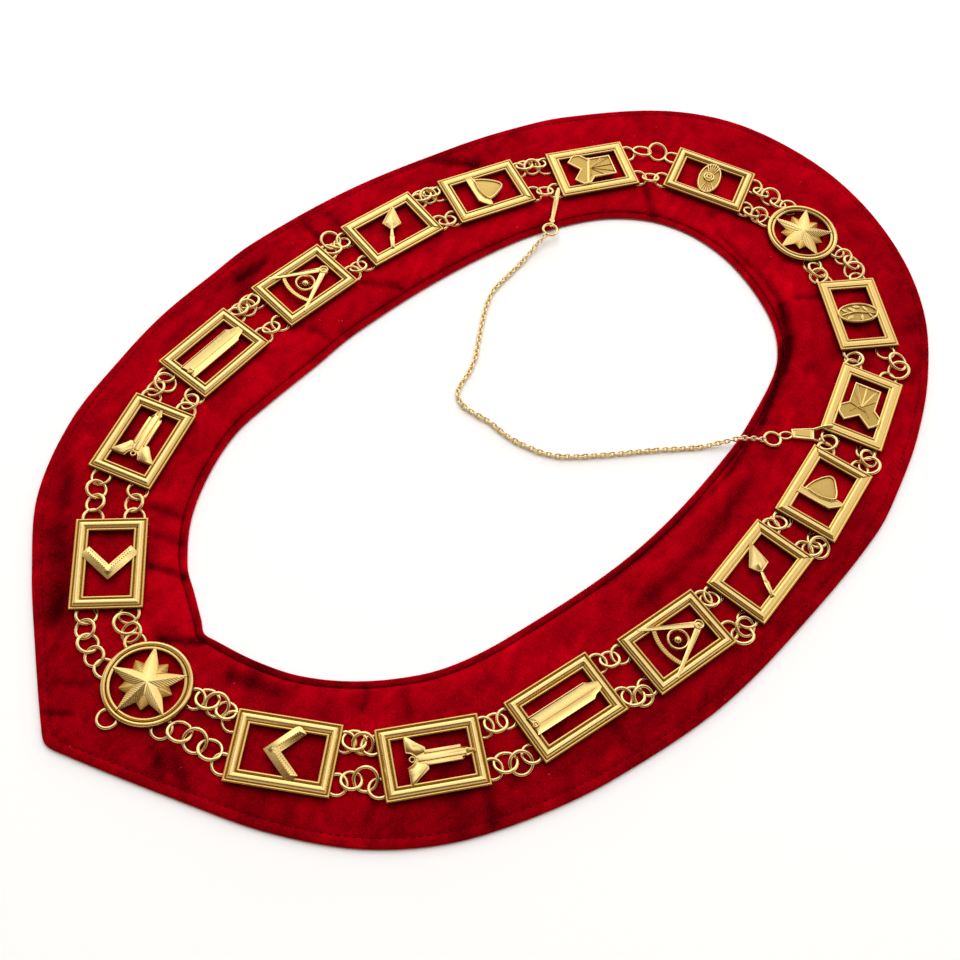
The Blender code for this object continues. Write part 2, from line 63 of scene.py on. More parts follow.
BAND_SECTIONS = (  # outer x, outer y, inner x, inner y; from the front point round by the left side
    (-6, -239.5, -6.5, -165), (-13, -237, -12, -162.6),
    (-44, -221, -24, -157.8), (-74.3, -204.2, -36, -153),
    (-104, -183.5, -54, -138.8), (-128, -152, -68.5, -119),
    (-142.5, -118.5, -78.3, -98), (-152.6, -88.5, -82.5, -76),
    (-158.8, -57, -86.2, -48), (-163.4, -28, -90, -22.5),
    (-163.2, 32, -91.2, 28), (-154.3, 93.5, -87.2, 75.5),
    (-146.5, 126.5, -80, 104), (-136, 156, -70.5, 125.5),
    (-108.5, 202.5, -56, 142.5), (-78, 229, -38.5, 152.3),
    (-37, 242.5, -19, 156), (1.4, 242.7, -0.5, 154.6),
    (40, 231.5, 18, 149.6), (72, 211.5, 32, 142.8),
    (98, 182.5, 43.5, 132.5), (116.7, 152, 50.5, 121.5),
    (129, 124.5, 59.5, 98.5), (138.5, 97, 66.3, 76.5),
    (147.3, 41, 75, 28.5), (151.7, -18, 77.3, -12.5),
    (145.7, -74, 73, -68.5), (137, -109, 68.8, -91.5),
    (123.5, -142.3, 62.5, -108), (103.8, -169.8, 49.5, -128.5),
    (76.3, -193.3, 33.3, -145.2), (45.5, -212, 16.5, -155.7),
    (1, -236.8, -1.5, -163.4),
)
BAND_STATIONS, CAD_STATIONS = 18, 2  # between two rows of the table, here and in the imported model
OUTER_HEM = (  # distance in from the outer edge, height of the pile there
    (0, 0.9), (0.25, 1.7), (0.7, 2.25), (1.6, 2.6), (2.8, 2.6), (3.5, 2.4), (4, 2.15),
    (4.4, 2.3), (5.3, 2.8), (7, 3.1), (11, 3.5), (16, 3.75), (21, 3.8),
)
INNER_HEM = (  # the same from the inner edge, where the padding stops at the seam
    (0, 0.7), (0.25, 1.4), (0.7, 1.85), (1.4, 2.1), (2.3, 2.0), (2.9, 1.75), (3.2, 1.4),
    (3.5, 1.4), (3.8, 1.9), (4.3, 2.55), (5.4, 3.2), (7.5, 3.65), (11, 3.8),
)
PILE_LOW, PILE_TOP = 0.9, 3.85
LINING_HEM = ((0.35, 0.5), (1.1, 0.12), (2.6, 0))  # distance in from either edge, height of the underside
BAND_CREASES = (  # from x, y to x, y, depth, width
    (-84, -185, -50, -206, 0.7, 6), (-104, -168, -92, -178, 0.6, 4), (-148, -47, -149.5, -32, 1, 3.2),
    (-138, -58, -141, -46, 0.5, 2.5), (-151, 80, -137, 94, 1, 3.6), (-158, 0, -143, -2, 0.9, 1.8),
    (-161, 10, -146, 12, 0.5, 2), (-68.7, -149.4, -57.1, -142.4, 0.8, 2), (-58, -157, -47, -149.5, 0.5, 1.8),
    (-44.4, -165.4, -32.2, -156.8, 0.9, 2), (-13.8, -180.7, -3.6, -168.8, 1, 2.2),
    (-17, -233.1, -9.3, -225.5, 0.7, 1.6), (-24, -222, -16, -215, 0.5, 1.8),
    (31.7, -204.5, 43, -207.3, 0.5, 2.4), (22, -208, 36, -213, 0.5, 2.2), (-110.8, -1, -98, 11.6, 0.8, 2),
    (-106, -40, -94, -34, 0.5, 2.4), (-74.1, 155.7, -58.1, 145.5, 0.8, 2), (-29.2, 180, -19.5, 186, 0.8, 2.4),
    (-38, 170, -27, 163, 0.5, 2.6), (17.6, -167.1, 33.6, -157.6, 0.7, 3),
    (55.4, -128.4, 60.3, -134.8, 0.6, 1.8), (66, -118, 74, -122, 0.5, 2.2), (98, -14, 95, 28, 0.6, 3.4),
    (95, 28, 84, 66, 0.6, 3.4), (128, -60, 139, -62, 0.5, 2.4), (118, -118, 128, -124, 0.5, 2.6),
    (26, 166, 33, 176, 0.7, 2.4), (24, 156, 40, 144, 1.5, 2.8), (40, 144, 51.5, 127, 1.9, 2.6),
    (51.5, 127, 66, 97, 1.2, 1.8), (66, 97, 76, 62, 0.8, 1.5), (76, 62, 80.5, 16, 0.6, 1.4),
    (80.5, 16, 82, -20, 0.4, 1.4), (-27, 163.5, 10, 160.5, 0.6, 1.4), (10, 160.5, 24, 156, 0.9, 1.8),
)
OUTER_SEAM, INNER_SEAM = 4.0, 3.35
STITCH_PITCH, STITCH_STEPS, STITCH_RISE, STITCH_SINK, STITCH_THREAD = 3.2, 4, 0.12, 0.3, 0.4
SWAY, SWAY_DEPTH, RIPPLE, RIPPLE_DEPTH = 26.0, 0.35, 9.0, 0.22  # size and depth of the waves in the padding
PUCKER, PUCKER_DEPTH, PUCKER_FROM_EDGE, PUCKER_REACH = 7.3, 0.16, 5.5, 3.0
LINING_TOP = 0.3


def smooth_path(points, steps, closed):
    """Catmull-Rom curve through the points, with the given number of steps between two of them."""
    points = np.array(points, float)
    around = [points[-1:], points, points[:2]] if closed else [points[:1], points, points[-1:]]
    around = np.concatenate(around)
    t = np.linspace(0, 1, steps, endpoint=False)[:, None]
    rise = 3 * t**2 - 2 * t**3
    path = []
    for index in range(len(around) - 3):
        near = around[index : index + 4]
        before, chord, after = (max(np.linalg.norm(b - a), 1e-6) for a, b in zip(near, near[1:]))
        lead = (near[2] - near[0]) * chord / (before + chord)
        trail = (near[3] - near[1]) * chord / (after + chord)
        ease = lead * (t**3 - 2 * t**2 + t) + trail * (t**3 - t**2)
        path.append(near[1] * (1 - rise) + near[2] * rise + ease)
    return np.concatenate(path if closed else [*path, points[-1:]])


def loft(sections, ends="joined"):
    """Body through closed sections: the last one joined to the first, both capped, or only the first."""
    sections = np.asarray(sections, float)
    rows, size = sections.shape[:2]
    a = np.arange(rows * size).reshape(rows, size)
    b, c, d = np.roll(a, -1, 0), np.roll(a, (-1, -1), (0, 1)), np.roll(a, -1, 1)
    sides = np.stack([a, b, c, d], -1)
    if ends == "joined":
        return sections.reshape(-1, 3), sides.reshape(-1, 4).tolist()
    caps = a[[0, -1]] if ends == "capped" else a[:1]
    return sections.reshape(-1, 3), sides[:-1].reshape(-1, 4).tolist() + caps.tolist()


def new_mesh(name, bodies, sharp=None):
    """One mesh in metres from closed bodies in millimetres; edges above the sharp angle stay crisp.

    A body's third item, if it has one, says how many of its last faces take the second material.
    """
    points, faces, second = [], [], []
    for body_points, body_faces, *last in bodies:
        faces += [[len(points) + corner for corner in face] for face in body_faces]
        points += [tuple(point) for point in body_points]
        matted = last[0] if last else 0
        second += [0] * (len(body_faces) - matted) + [1] * matted
    mesh = bpy.data.meshes.new(name)
    mesh.from_pydata(points, [], faces)
    mesh.polygons.foreach_set("material_index", second)
    work = bmesh.new()
    work.from_mesh(mesh)
    bmesh.ops.remove_doubles(work, verts=work.verts, dist=1e-4)
    bmesh.ops.recalc_face_normals(work, faces=work.faces)
    work.to_mesh(mesh)
    work.free()
    mesh.transform(Matrix.Scale(MM, 4))
    mesh.shade_smooth()
    if sharp is not None:
        mesh.set_sharp_from_angle(angle=math.radians(sharp))
    return mesh


def fill_inputs(tree, node, values):
    """Sets a node's sockets: each takes a value or another node's output."""
    for name, value in values.items():
        if isinstance(value, bpy.types.NodeSocket):
            tree.links.new(value, node.inputs[name])
        else:
            node.inputs[name].default_value = value


def linear(code):
    """Linear colour of an sRGB hex code."""
    parts = [int(code[index : index + 2], 16) / 255 for index in (1, 3, 5)]
    return (*(part / 12.92 if part <= 0.04045 else ((part + 0.055) / 1.055) ** 2.4 for part in parts), 1.0)


def add_node(tree, kind, inputs, **settings):
    """Adds a node with its settings, fills its inputs and gives the node back."""
    made = tree.nodes.new("ShaderNode" + kind)
    for name, value in settings.items():
        setattr(made, name, value)
    fill_inputs(tree, made, inputs)
    return made


def calculate(tree, operation, *values):
    """Result of a Math node."""
    return add_node(tree, "Math", dict(enumerate(values)), operation=operation).outputs[0]


def lumps(tree, place, scale, detail, rough=0.5):
    """Noise of that many lumps to the metre."""
    inputs = {"Vector": place, "Scale": scale, "Detail": detail, "Roughness": rough}
    return add_node(tree, "TexNoise", inputs).outputs["Fac"]


def shades(tree, level, stops):
    """Colour by level, from stops of position and hex code."""
    made = add_node(tree, "ValToRGB", {"Fac": level})
    elements = made.color_ramp.elements
    while len(elements) < len(stops):
        elements.new(0.5)
    for element, (position, code) in zip(elements, stops):
        element.position, element.color = position, linear(code)
    return made.outputs["Color"]


def spread(tree, value, low, high, to_low, to_high):
    """The value carried over from one range to another."""
    names = ("Value", "From Min", "From Max", "To Min", "To Max")
    return add_node(tree, "MapRange", dict(zip(names, (value, low, high, to_low, to_high)))).outputs["Result"]


def bumped(tree, height, strength, distance):
    """Normal of a surface with that relief, its distance in metres."""
    inputs = {"Height": height, "Strength": strength, "Distance": distance}
    return add_node(tree, "Bump", inputs).outputs["Normal"]


def new_material(name):
    """A material, its node tree, its shader, and the place on the object in metres."""
    material = bpy.data.materials.new(name)
    material.use_nodes = True
    tree = material.node_tree
    return material, tree, tree.nodes["Principled BSDF"], add_node(tree, "TexCoord", {}).outputs["Object"]


band_outer = smooth_path([row[:2] for row in BAND_SECTIONS], BAND_STATIONS, True)
band_inner = smooth_path([row[2:] for row in BAND_SECTIONS], BAND_STATIONS, True)
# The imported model's origin is under the middle of the band's box, as its own coarser stations give it.
cad_edge = smooth_path([row[:2] for row in BAND_SECTIONS], CAD_STATIONS, True)
TO_ORIGIN = Matrix.Translation((*(-(cad_edge.min(0) + cad_edge.max(0)) / 2 * MM), 0.0))


def add_piece(name, mesh, materials, replaced=(), place=Matrix()):
    """A piece that rides on the collar, takes these materials and hides the CAD nodes that it replaces."""
    piece = bpy.data.objects.new(name, mesh)
    for material in materials:
        if material.name not in mesh.materials:
            mesh.materials.append(material)
    piece.matrix_world = TO_ORIGIN @ place
    bpy.context.scene.collection.objects.link(piece)
    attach(piece, "root")
    if replaced:
        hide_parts(*replaced)
    return piece


def crease_depth(x, y):
    """How deep the creases are at these places, and how strongly they mark the pile."""
    depth = np.zeros_like(x)
    for from_x, from_y, to_x, to_y, deep, width in BAND_CREASES:
        run = np.array([to_x - from_x, to_y - from_y])
        share = ((x - from_x) * run[0] + (y - from_y) * run[1]) / np.sum(run**2)
        nearest = np.clip(share, 0, 1)
        away = np.hypot(x - from_x - nearest * run[0], y - from_y - nearest * run[1])
        depth = np.maximum(depth, deep * np.exp(-((away / width) ** 2)))
    return depth


def cloth_noise(x, y, size, seed):
    """Smooth noise, about -1 to 1, with lumps of that size."""
    places = zip(x.ravel() / size, y.ravel() / size)
    return np.array([noise.noise(Vector((a, b, seed))) for a, b in places]).reshape(x.shape)


edge_part = [0, 0.12, 0.25, 0.45, 0.7, 1.1, 1.5, 2, 2.4, 2.7, 2.9, 3.05, 3.2, 3.35, 3.5, 3.65, 3.8, 4, 4.3]
edge_part += [4.8, 5.4, 6.3, 7.5]
middle_part = np.linspace(0, 1, 38)[1:-1]
rows = []
for outer, inner in zip(band_outer, band_inner):
    width = np.linalg.norm(outer - inner)
    last = edge_part[-1]
    middle = last + (width - 2 * last) * middle_part
    insets = np.concatenate([edge_part, middle, width - np.array(edge_part[::-1])])
    plan = inner + (outer - inner) * (insets / width)[:, None]
    heights = np.minimum(np.interp(insets, *zip(*INNER_HEM)), np.interp(width - insets, *zip(*OUTER_HEM)))
    rows.append((plan[:, 0], plan[:, 1], heights, insets / width))
rows_x, rows_y, rows_z, rows_across = (np.array(column) for column in zip(*rows))
band_widths = np.linalg.norm(band_outer - band_inner, axis=1)[:, None]
from_edge = np.minimum(rows_across, 1 - rows_across) * band_widths
creases = crease_depth(rows_x, rows_y)
sway = cloth_noise(rows_x, rows_y, SWAY, 3.1)
ripple = cloth_noise(rows_x, rows_y, RIPPLE, 7.7)
# The hem's thread draws the cloth into small puckers just inside the seam.
run_along = np.cumsum(np.linalg.norm(np.roll(band_outer, -1, 0) - band_outer, axis=1))[:, None]
pucker = np.sin(run_along * 2 * math.pi / PUCKER + 2.5 * ripple)
pucker *= np.exp(-(((from_edge - PUCKER_FROM_EDGE) / PUCKER_REACH) ** 2))
soft = np.clip(from_edge / 5.0, 0, 1)
top_z = rows_z - creases * np.clip(from_edge / 2.5, 0.25, 1)
top_z += soft * (SWAY_DEPTH * np.minimum(sway, 0) + RIPPLE_DEPTH * np.minimum(ripple, 0))
top_z += PUCKER_DEPTH * pucker
top_z = np.clip(top_z, PILE_LOW, PILE_TOP)

sections = []
for outer, inner, row_x, row_y, row_z in zip(band_outer, band_inner, rows_x, rows_y, top_z):
    width = np.linalg.norm(outer - inner)
    under = [(width - inset, height) for inset, height in LINING_HEM]
    under += [(width * share, 0.0) for share in (0.8, 0.65, 0.5, 0.35, 0.2)]
    under += LINING_HEM[::-1]
    plan = [(*(inner + (outer - inner) * inset / width), height) for inset, height in under]
    sections.append([*zip(row_x, row_y, row_z), *plan])
velvet_mesh = new_mesh("velvet band", [loft(sections)])

# How the pile looks: patches and short brushed streaks of random tone, plus painted light: shade painted into
# the creases and the ripples' dips, and sheen painted where it is lighter.
bent_x, bent_y = rows_x + 9.0 * sway + 3.0 * ripple, rows_y - 9.0 * ripple
streak = cloth_noise(bent_x * 0.9 + bent_y * 0.3, bent_y * 0.4, 4.0, 1.9)
patch = cloth_noise(bent_x, bent_y, 12.0, 11.3)
broad = cloth_noise(rows_x, rows_y, 45.0, 5.2)
pile_tone_and_shade = 0.555 + 0.13 * patch + 0.17 * streak + 0.12 * broad + 0.10 * ripple
pile_tone_and_shade += rows_y / 6500 - rows_x / 2300  # painted sheen: lighter towards the back and the left
# Painted light on the padding: the inner margin lighter and the outer one darker, and painted shade in the
# creases.
pile_tone_and_shade += 0.07 * (0.5 - rows_across) * 2 - 0.46 * np.clip(creases, 0, 1.4)
# Darker on the inner hem, painted shade along the inner seam's groove, and a painted sheen on the rolled
# edge.
on_inner_hem = (rows_across < 0.5) * np.exp(-(((from_edge - 1.7) / 1.5) ** 4))
in_inner_seam = (rows_across < 0.5) * np.exp(-(((from_edge - INNER_SEAM) / 0.4) ** 2))
on_fold = np.exp(-(((from_edge - 0.5) / 0.5) ** 2))
pile_tone_and_shade += 0.12 * on_fold - 0.2 * on_inner_hem - 0.35 * in_inner_seam
pile = np.full((len(sections), len(sections[0])), 0.5)
pile[:, : pile_tone_and_shade.shape[1]] = np.clip(pile_tone_and_shade, 0, 1)
velvet_mesh.attributes.new("pile", "FLOAT", "POINT").data.foreach_set("value", pile.ravel())

# Cotton velvet, woven and cut: the dye colour with the pile attribute's painted shade and sheen, and a pale
# shader sheen where the pile lies sideways.
# The pile itself is 0.4 mm tufts, drawn at 0.7 mm so that it shows.
VELVET_STOPS = ((0.05, "#360003"), (0.35, "#74000A"), (0.6, "#9A000E"), (0.85, "#BC0014"), (1.0, "#D2021E"))
velvet, tree, shader, place = new_material("cotton velvet, cut pile")
# The pile attribute brings in its random tone together with the painted shade and sheen.
lean = add_node(tree, "Attribute", {}, attribute_name="pile").outputs["Fac"]
tufts = lumps(tree, place, 1400, 3, 0.7)
uneven = calculate(tree, "MULTIPLY_ADD", lumps(tree, place, 260, 5, 0.7), 0.4, lean)
uneven = calculate(tree, "MULTIPLY_ADD", tufts, 0.8, uneven)
pile_colour_and_shade = shades(tree, calculate(tree, "SUBTRACT", uneven, 0.6), VELVET_STOPS)
# Specks of lint, about half a millimetre across, here and there.
lint = add_node(tree, "TexVoronoi", {"Vector": place, "Scale": 210.0}).outputs["Distance"]
near_speck = calculate(tree, "LESS_THAN", lint, 0.05)
often = calculate(tree, "GREATER_THAN", lumps(tree, place, 45, 2), 0.58)
speck = calculate(tree, "MULTIPLY", calculate(tree, "MULTIPLY", near_speck, often), 0.45)
dusted = add_node(tree, "Mix", {"Factor": speck, "A": pile_colour_and_shade, "B": linear("#E06A78")}, data_type="RGBA")
relief = calculate(tree, "MULTIPLY_ADD", lumps(tree, place, 260, 4), 2.0, tufts)
fill_inputs(tree, shader, {
    "Base Color": dusted.outputs["Result"],
    "Roughness": 0.95,
    "Specular IOR Level": 0.0,
    "Sheen Weight": 0.3,
    "Sheen Roughness": 0.4,
    "Sheen Tint": linear("#E01024"),
    "Normal": bumped(tree, relief, 0.5, 0.6 * MM),
})

# Rayon lining, woven in twill: a close weave with a slight shine. Its ribs of half a millimetre are drawn at
# 1.4 mm, so that they show.
lining, tree, shader, place = new_material("rayon lining, twill weave")
weave = {"Vector": place, "Scale": 320.0, "Distortion": 0.4}
twill = add_node(tree, "TexWave", weave, bands_direction="DIAGONAL").outputs["Fac"]
thread = shades(tree, twill, ((0.0, "#4A060C"), (1.0, "#7A0E18")))
twilled = bumped(tree, twill, 0.4, 0.2 * MM)
fill_inputs(tree, shader, {"Base Color": thread, "Roughness": 0.55, "Sheen Weight": 0.2, "Normal": twilled})

velvet_band = add_piece("velvet_band", velvet_mesh, [velvet, lining], ["velvet_collar"])
for face in velvet_mesh.polygons:
    face.material_index = int(face.center.z < LINING_TOP * MM)


def turns(count):
    """Directions all round a circle, in radians."""
    return np.arange(count) * 2 * math.pi / count


def unit(vector):
    """The vector at length one."""
    return np.asarray(vector, float) / np.linalg.norm(vector)


def tube(points, radius, sides=6, tip=0.5):
    """Round rod along open points, narrowing at both ends to that share of its radius."""
    points = np.asarray(points, float)
    sections = []
    for index, (point, tangent) in enumerate(zip(points, np.gradient(points, axis=0))):
        is_upright = np.hypot(*tangent[:2]) < 1e-6
        aside = np.array((1.0, 0.0, 0.0)) if is_upright else unit(np.cross(tangent, (0, 0, 1)))
        up = np.cross(aside, unit(tangent))
        size = radius * (tip if index in (0, len(points) - 1) else 1.0)
        rounds = turns(sides)
        sections.append([point + size * (math.cos(turn) * aside + math.sin(turn) * up) for turn in rounds])
    return loft(sections, "capped")


def even_path(path, spacing):
    """Points of the path at even distances, its two ends included."""
    lengths = np.concatenate([[0], np.cumsum(np.linalg.norm(np.diff(path, axis=0), axis=1))])
    wanted = np.linspace(0, lengths[-1], max(round(lengths[-1] / spacing), 1) + 1)
    return np.stack([np.interp(wanted, lengths, column) for column in np.transpose(path)], 1)


# Polyester sewing thread, spun: matt, a little darker than the pile that it sinks into, and uneven in shade.
thread_red, tree, shader, place = new_material("polyester thread, spun")
thread = shades(tree, lumps(tree, place, 900, 2), ((0.3, "#300003"), (0.7, "#6A000A")))
fill_inputs(tree, shader, {"Base Color": thread, "Roughness": 0.8, "Specular IOR Level": 0.1})
stitches = []
for edge, other, inset, column in (
    (band_outer, band_inner, OUTER_SEAM, -1 - edge_part.index(OUTER_SEAM)),
    (band_inner, band_outer, INNER_SEAM, edge_part.index(INNER_SEAM)),
):
    seam = edge + (other - edge) * inset / band_widths
    seam = np.column_stack((seam, top_z[:, column]))
    seam = even_path(np.concatenate([seam, seam[:1]]), STITCH_PITCH / STITCH_STEPS)
    for start in range(0, len(seam) - STITCH_STEPS, STITCH_STEPS):
        run = seam[start : start + STITCH_STEPS] + (0, 0, STITCH_RISE)
        run[[0, -1], 2] -= STITCH_SINK
        stitches.append(tube(run, STITCH_THREAD / 2, 6, 0.6))
hem_stitches = add_piece("hem_stitches", new_mesh("hem stitches", stitches), [thread_red])
outer_area, inner_area = (
    0.5 * abs(np.sum(path[:, 0] * np.roll(path[:, 1], -1) - path[:, 1] * np.roll(path[:, 0], -1)))
    for path in (band_outer, band_inner)
)

# ---- Bar medallions
# Openwork frames cast in brass and plated with bright gold, each round one craft emblem. The moulding is a
# beaded rim, a broad ridge and a lip round the window. Eyes soldered under the short ends hold jump rings.

BAR_LENGTH, BAR_WIDTH, BAR_BASE = 42.0, 30.0, 6.0
BAR_PLACES = {  # from the front: x, y, heading in degrees from +X
    "left": (
        (-54.5, -178.5, 143.5), (-96.5, -134.5, 117.5), (-117, -82.5, 100.5), (-124, -26, 94),
        (-126.5, 29.5, 88), (-117.5, 83.5, 75.5), (-96.5, 138, 66.5), (-54.5, 183, 27),
    ),
    "right": (
        (56.5, -171, 41.5), (94.5, -127, 61), (112, -71.5, 84), (120, -15.5, 86),
        (119.5, 37, 101), (110.5, 89, 106.5), (90, 139, 116), (52, 179.5, 148.5),
    ),
}
DEEP = (  # in from the outer edge, up from the underside: rim, groove, broad ridge, groove, lip
    (0, 0), (0, 0.95), (0.05, 1.2), (0.2, 1.38), (0.45, 1.47), (0.75, 1.42), (0.95, 1.3), (1.1, 1.12),
    (1.25, 1.12), (1.62, 1.6), (1.98, 2.06), (2.15, 2.2), (2.5, 2.3), (2.9, 2.34), (3.3, 2.3),
    (3.65, 2.2), (3.82, 2.06), (4.18, 1.6), (4.55, 1.12), (4.7, 1.12), (4.76, 1.3), (4.9, 1.44),
    (5.15, 1.5), (5.42, 1.46), (5.64, 1.32), (5.76, 1.12), (5.8, 0.9), (5.8, 0),
)
SHALLOW = (  # the same points where the ridge is flat and low
    (0, 0), (0, 0.95), (0.05, 1.2), (0.2, 1.4), (0.45, 1.5), (0.72, 1.46), (0.92, 1.38), (1.08, 1.28),
    (1.2, 1.3), (1.4, 1.46), (1.62, 1.6), (1.9, 1.68), (2.3, 1.74), (2.9, 1.77), (3.5, 1.74),
    (3.9, 1.68), (4.15, 1.6), (4.35, 1.46), (4.52, 1.3), (4.66, 1.28), (4.78, 1.4), (4.92, 1.52),
    (5.15, 1.58), (5.42, 1.54), (5.64, 1.38), (5.76, 1.14), (5.8, 0.9), (5.8, 0),
)
BEADED = (2, 3)  # points of the deep moulding where the beads stand
BEAD, BEAD_DEPTH = 1.0, 0.05
LOW, LUG_IN, LUG_ASIDE = 0.7, 1.0, 8.7  # underside of the emblems; where the eyes are


def moulding(stations, half_length, half_width):
    """Frame through the stations: profile, and plan place in shares of the half length and half width."""
    sections = []
    for index, (profile, x, y) in enumerate(stations):
        section = []
        for number, (inset, height) in enumerate(profile):
            dip = BEAD_DEPTH if profile is DEEP and number in BEADED and index % 2 else 0.0
            section.append((x * (half_length - inset - dip), y * (half_width - inset - dip), height - dip))
        sections.append(section)
    return loft(sections)


def bar_frame(long_profile, short_profile):
    """Rectangular frame with mitred corners and stations half a bead apart."""
    corners = ((1, 1), (-1, 1), (-1, -1), (1, -1))
    stations = []
    for (x, y), (far_x, far_y) in zip(corners, corners[1:] + corners[:1]):
        profile, length = (long_profile, BAR_LENGTH) if x != far_x else (short_profile, BAR_WIDTH)
        for share in np.linspace(0, 1, 2 * round(length / BEAD) + 1):
            stations.append((profile, x + (far_x - x) * share, y + (far_y - y) * share))
    return moulding(stations, BAR_LENGTH / 2, BAR_WIDTH / 2)


def eye_post(x, y, tip):
    """Post under a frame, soldered on for a jump ring."""
    return tube([(x, y, z) for z in (-1.7, -0.6, 0.6)], 0.5, 8, tip)


def inset_outline(outline, inset):
    """The outline moved inwards by the inset."""
    points = np.array(outline, float)
    crossed = points * np.roll(points[:, ::-1], -1, 0)
    if np.sum(crossed[:, 0] - crossed[:, 1]) < 0:
        inset = -inset
    sides = []
    for run in (points - np.roll(points, 1, 0), np.roll(points, -1, 0) - points):
        run = run / np.linalg.norm(run, axis=1)[:, None]
        sides.append(np.stack([-run[:, 1], run[:, 0]], 1))
    widening = np.maximum(1 + np.sum(sides[0] * sides[1], axis=1), 0.35)[:, None]
    return points + (sides[0] + sides[1]) / widening * inset


def stack(layers, ends="capped"):
    """Body of outlines with as many points each, one above the other: outline, then its height or heights."""
    sections = [np.column_stack((plan, np.broadcast_to(heights, len(plan)))) for plan, heights in layers]
    return loft(sections, ends)


def plate(outline, edge, top, inset, low=LOW):
    """Flat shape with a chamfered rim."""
    return stack([(outline, low), (outline, edge), (inset_outline(outline, inset), top)])


def ground(outline, height, low=LOW):
    """Flat plate with a matted face."""
    return *plate(outline, height - 0.1, height, 0.1, low), 1


def piping(outline, inset, radius, height):
    """Half-sunk round border that follows the outline, this far in from it."""
    inner, outer = inset_outline(outline, inset + radius), inset_outline(outline, inset - radius)
    middle, reach = (inner + outer) / 2, (outer - inner) / 2
    rounds = turns(8)
    layers = [(middle + reach * math.cos(roll), height + radius * math.sin(roll)) for roll in rounds]
    return stack(layers, "joined")


def ridged(outline, edge, ridge, top, low=LOW):
    """Shape whose faces rise from the outline to the ridge point that each of its corners leads to."""
    return stack([(outline, low), (outline, edge), (ridge, top)], "one cap")


def crown(outline, edge, top, middle, low=LOW, levels=5):
    """Domed shape that swells from the outline to its middle."""
    layers = [(outline, low)]
    for slope in np.linspace(0, math.pi / 2, levels + 1):
        shrunk = np.array(middle) + (np.array(outline) - middle) * max(math.cos(slope), 0.02)
        layers.append((shrunk, edge + (top - edge) * math.sin(slope)))
    return stack(layers)


def swell(outline, inset, edge, top, middle, levels):
    """Low dome with a matted face, inside the outline."""
    points, faces = crown(inset_outline(outline, inset), edge, top, middle, 1.2, levels)
    return points, faces, len(faces)


def polar(reach, degrees, stretch=1.0):
    """Plan place at that reach and direction, stretched along y."""
    return reach * math.cos(math.radians(degrees)), reach * stretch * math.sin(math.radians(degrees))


def disc(x, y, radius, sides, stretch=1.0):
    """Round or oval outline."""
    return np.array([polar(radius, 360 * (index + 0.5) / sides, stretch) for index in range(sides)]) + (x, y)


def stud(x, y, radius, top, base=LOW, sides=10):
    """Round-headed stud."""
    return crown(disc(x, y, radius, sides), base + (top - base) * 0.4, top, (x, y), base, 3)


def bar(start, end, width, far_width, edge, top, low=LOW, far_top=None):
    """Tapered bar with a ridge along its middle and sloping ends."""
    start, end = np.array(start, float), np.array(end, float)
    along = unit(end - start)
    aside = np.array((-along[1], along[0]))
    near, far = start + along * width * 0.45, end - along * far_width * 0.45
    outline = [start - aside * width / 2, start + aside * width / 2]
    outline += [end + aside * far_width / 2, end - aside * far_width / 2]
    tops = [top, top, far_top or top, far_top or top]
    return ridged(outline, edge, [near, near, far, far], tops, low)


def mirrored(half):
    """Outline that is the same on both sides of the x axis, from its half with y over 0."""
    return list(half) + [(x, -y) for x, y in reversed(half) if y > 0]


def wire_loop(middle, first, second, wire, sides=36, round_sides=10):
    """Round or oval loop of wire of that thickness, through the ends of its two half-axes."""
    first, second = np.asarray(first, float), np.asarray(second, float)
    axis = unit(np.cross(first, second))
    sections = []
    for turn in turns(sides):
        core = np.asarray(middle) + math.cos(turn) * first + math.sin(turn) * second
        out = unit(math.cos(turn) * first / np.sum(first**2) + math.sin(turn) * second / np.sum(second**2))
        rounds = turns(round_sides)
        sections.append([core + wire / 2 * (math.cos(roll) * out + math.sin(roll) * axis) for roll in rounds])
    return loft(sections)


def hoop(x, y, height, radius, wire, sides=20):
    """Ring of wire that lies flat."""
    return wire_loop((x, y, height), (radius, 0, 0), (0, radius, 0), wire, sides, 8)


def square_emblem():
    """Mason's square: bevelled arms with two rows of studs, and a pyramid on the corner."""
    outline = [(-8, 0), (4, 12), (7.5, 8.5), (-1, 0), (7.5, -8.5), (4, -12)]
    ridge = [(-4.5, 0), (4.5, 9), (4.5, 9), (-4.5, 0), (4.5, -9), (4.5, -9)]
    yield ridged(outline, [1.45, 1.75, 1.75, 1.45, 1.75, 1.75], ridge, 2.74)
    yield ridged([(-7, 0), (-4.5, 2.4), (-2, 0), (-4.5, -2.4)], 1.7, [(-4.6, 0)] * 4, 3.08)
    for side in (1, -1):
        for share in np.linspace(0.16, 0.92, 10):
            yield stud(-4.3 + 9.2 * share, side * 9.1 * share, 0.45, 3.05, 2.0, 8)
            yield stud(-2.8 + 9.2 * share, side * 8.3 * share, 0.3, 2.45, 1.5, 6)


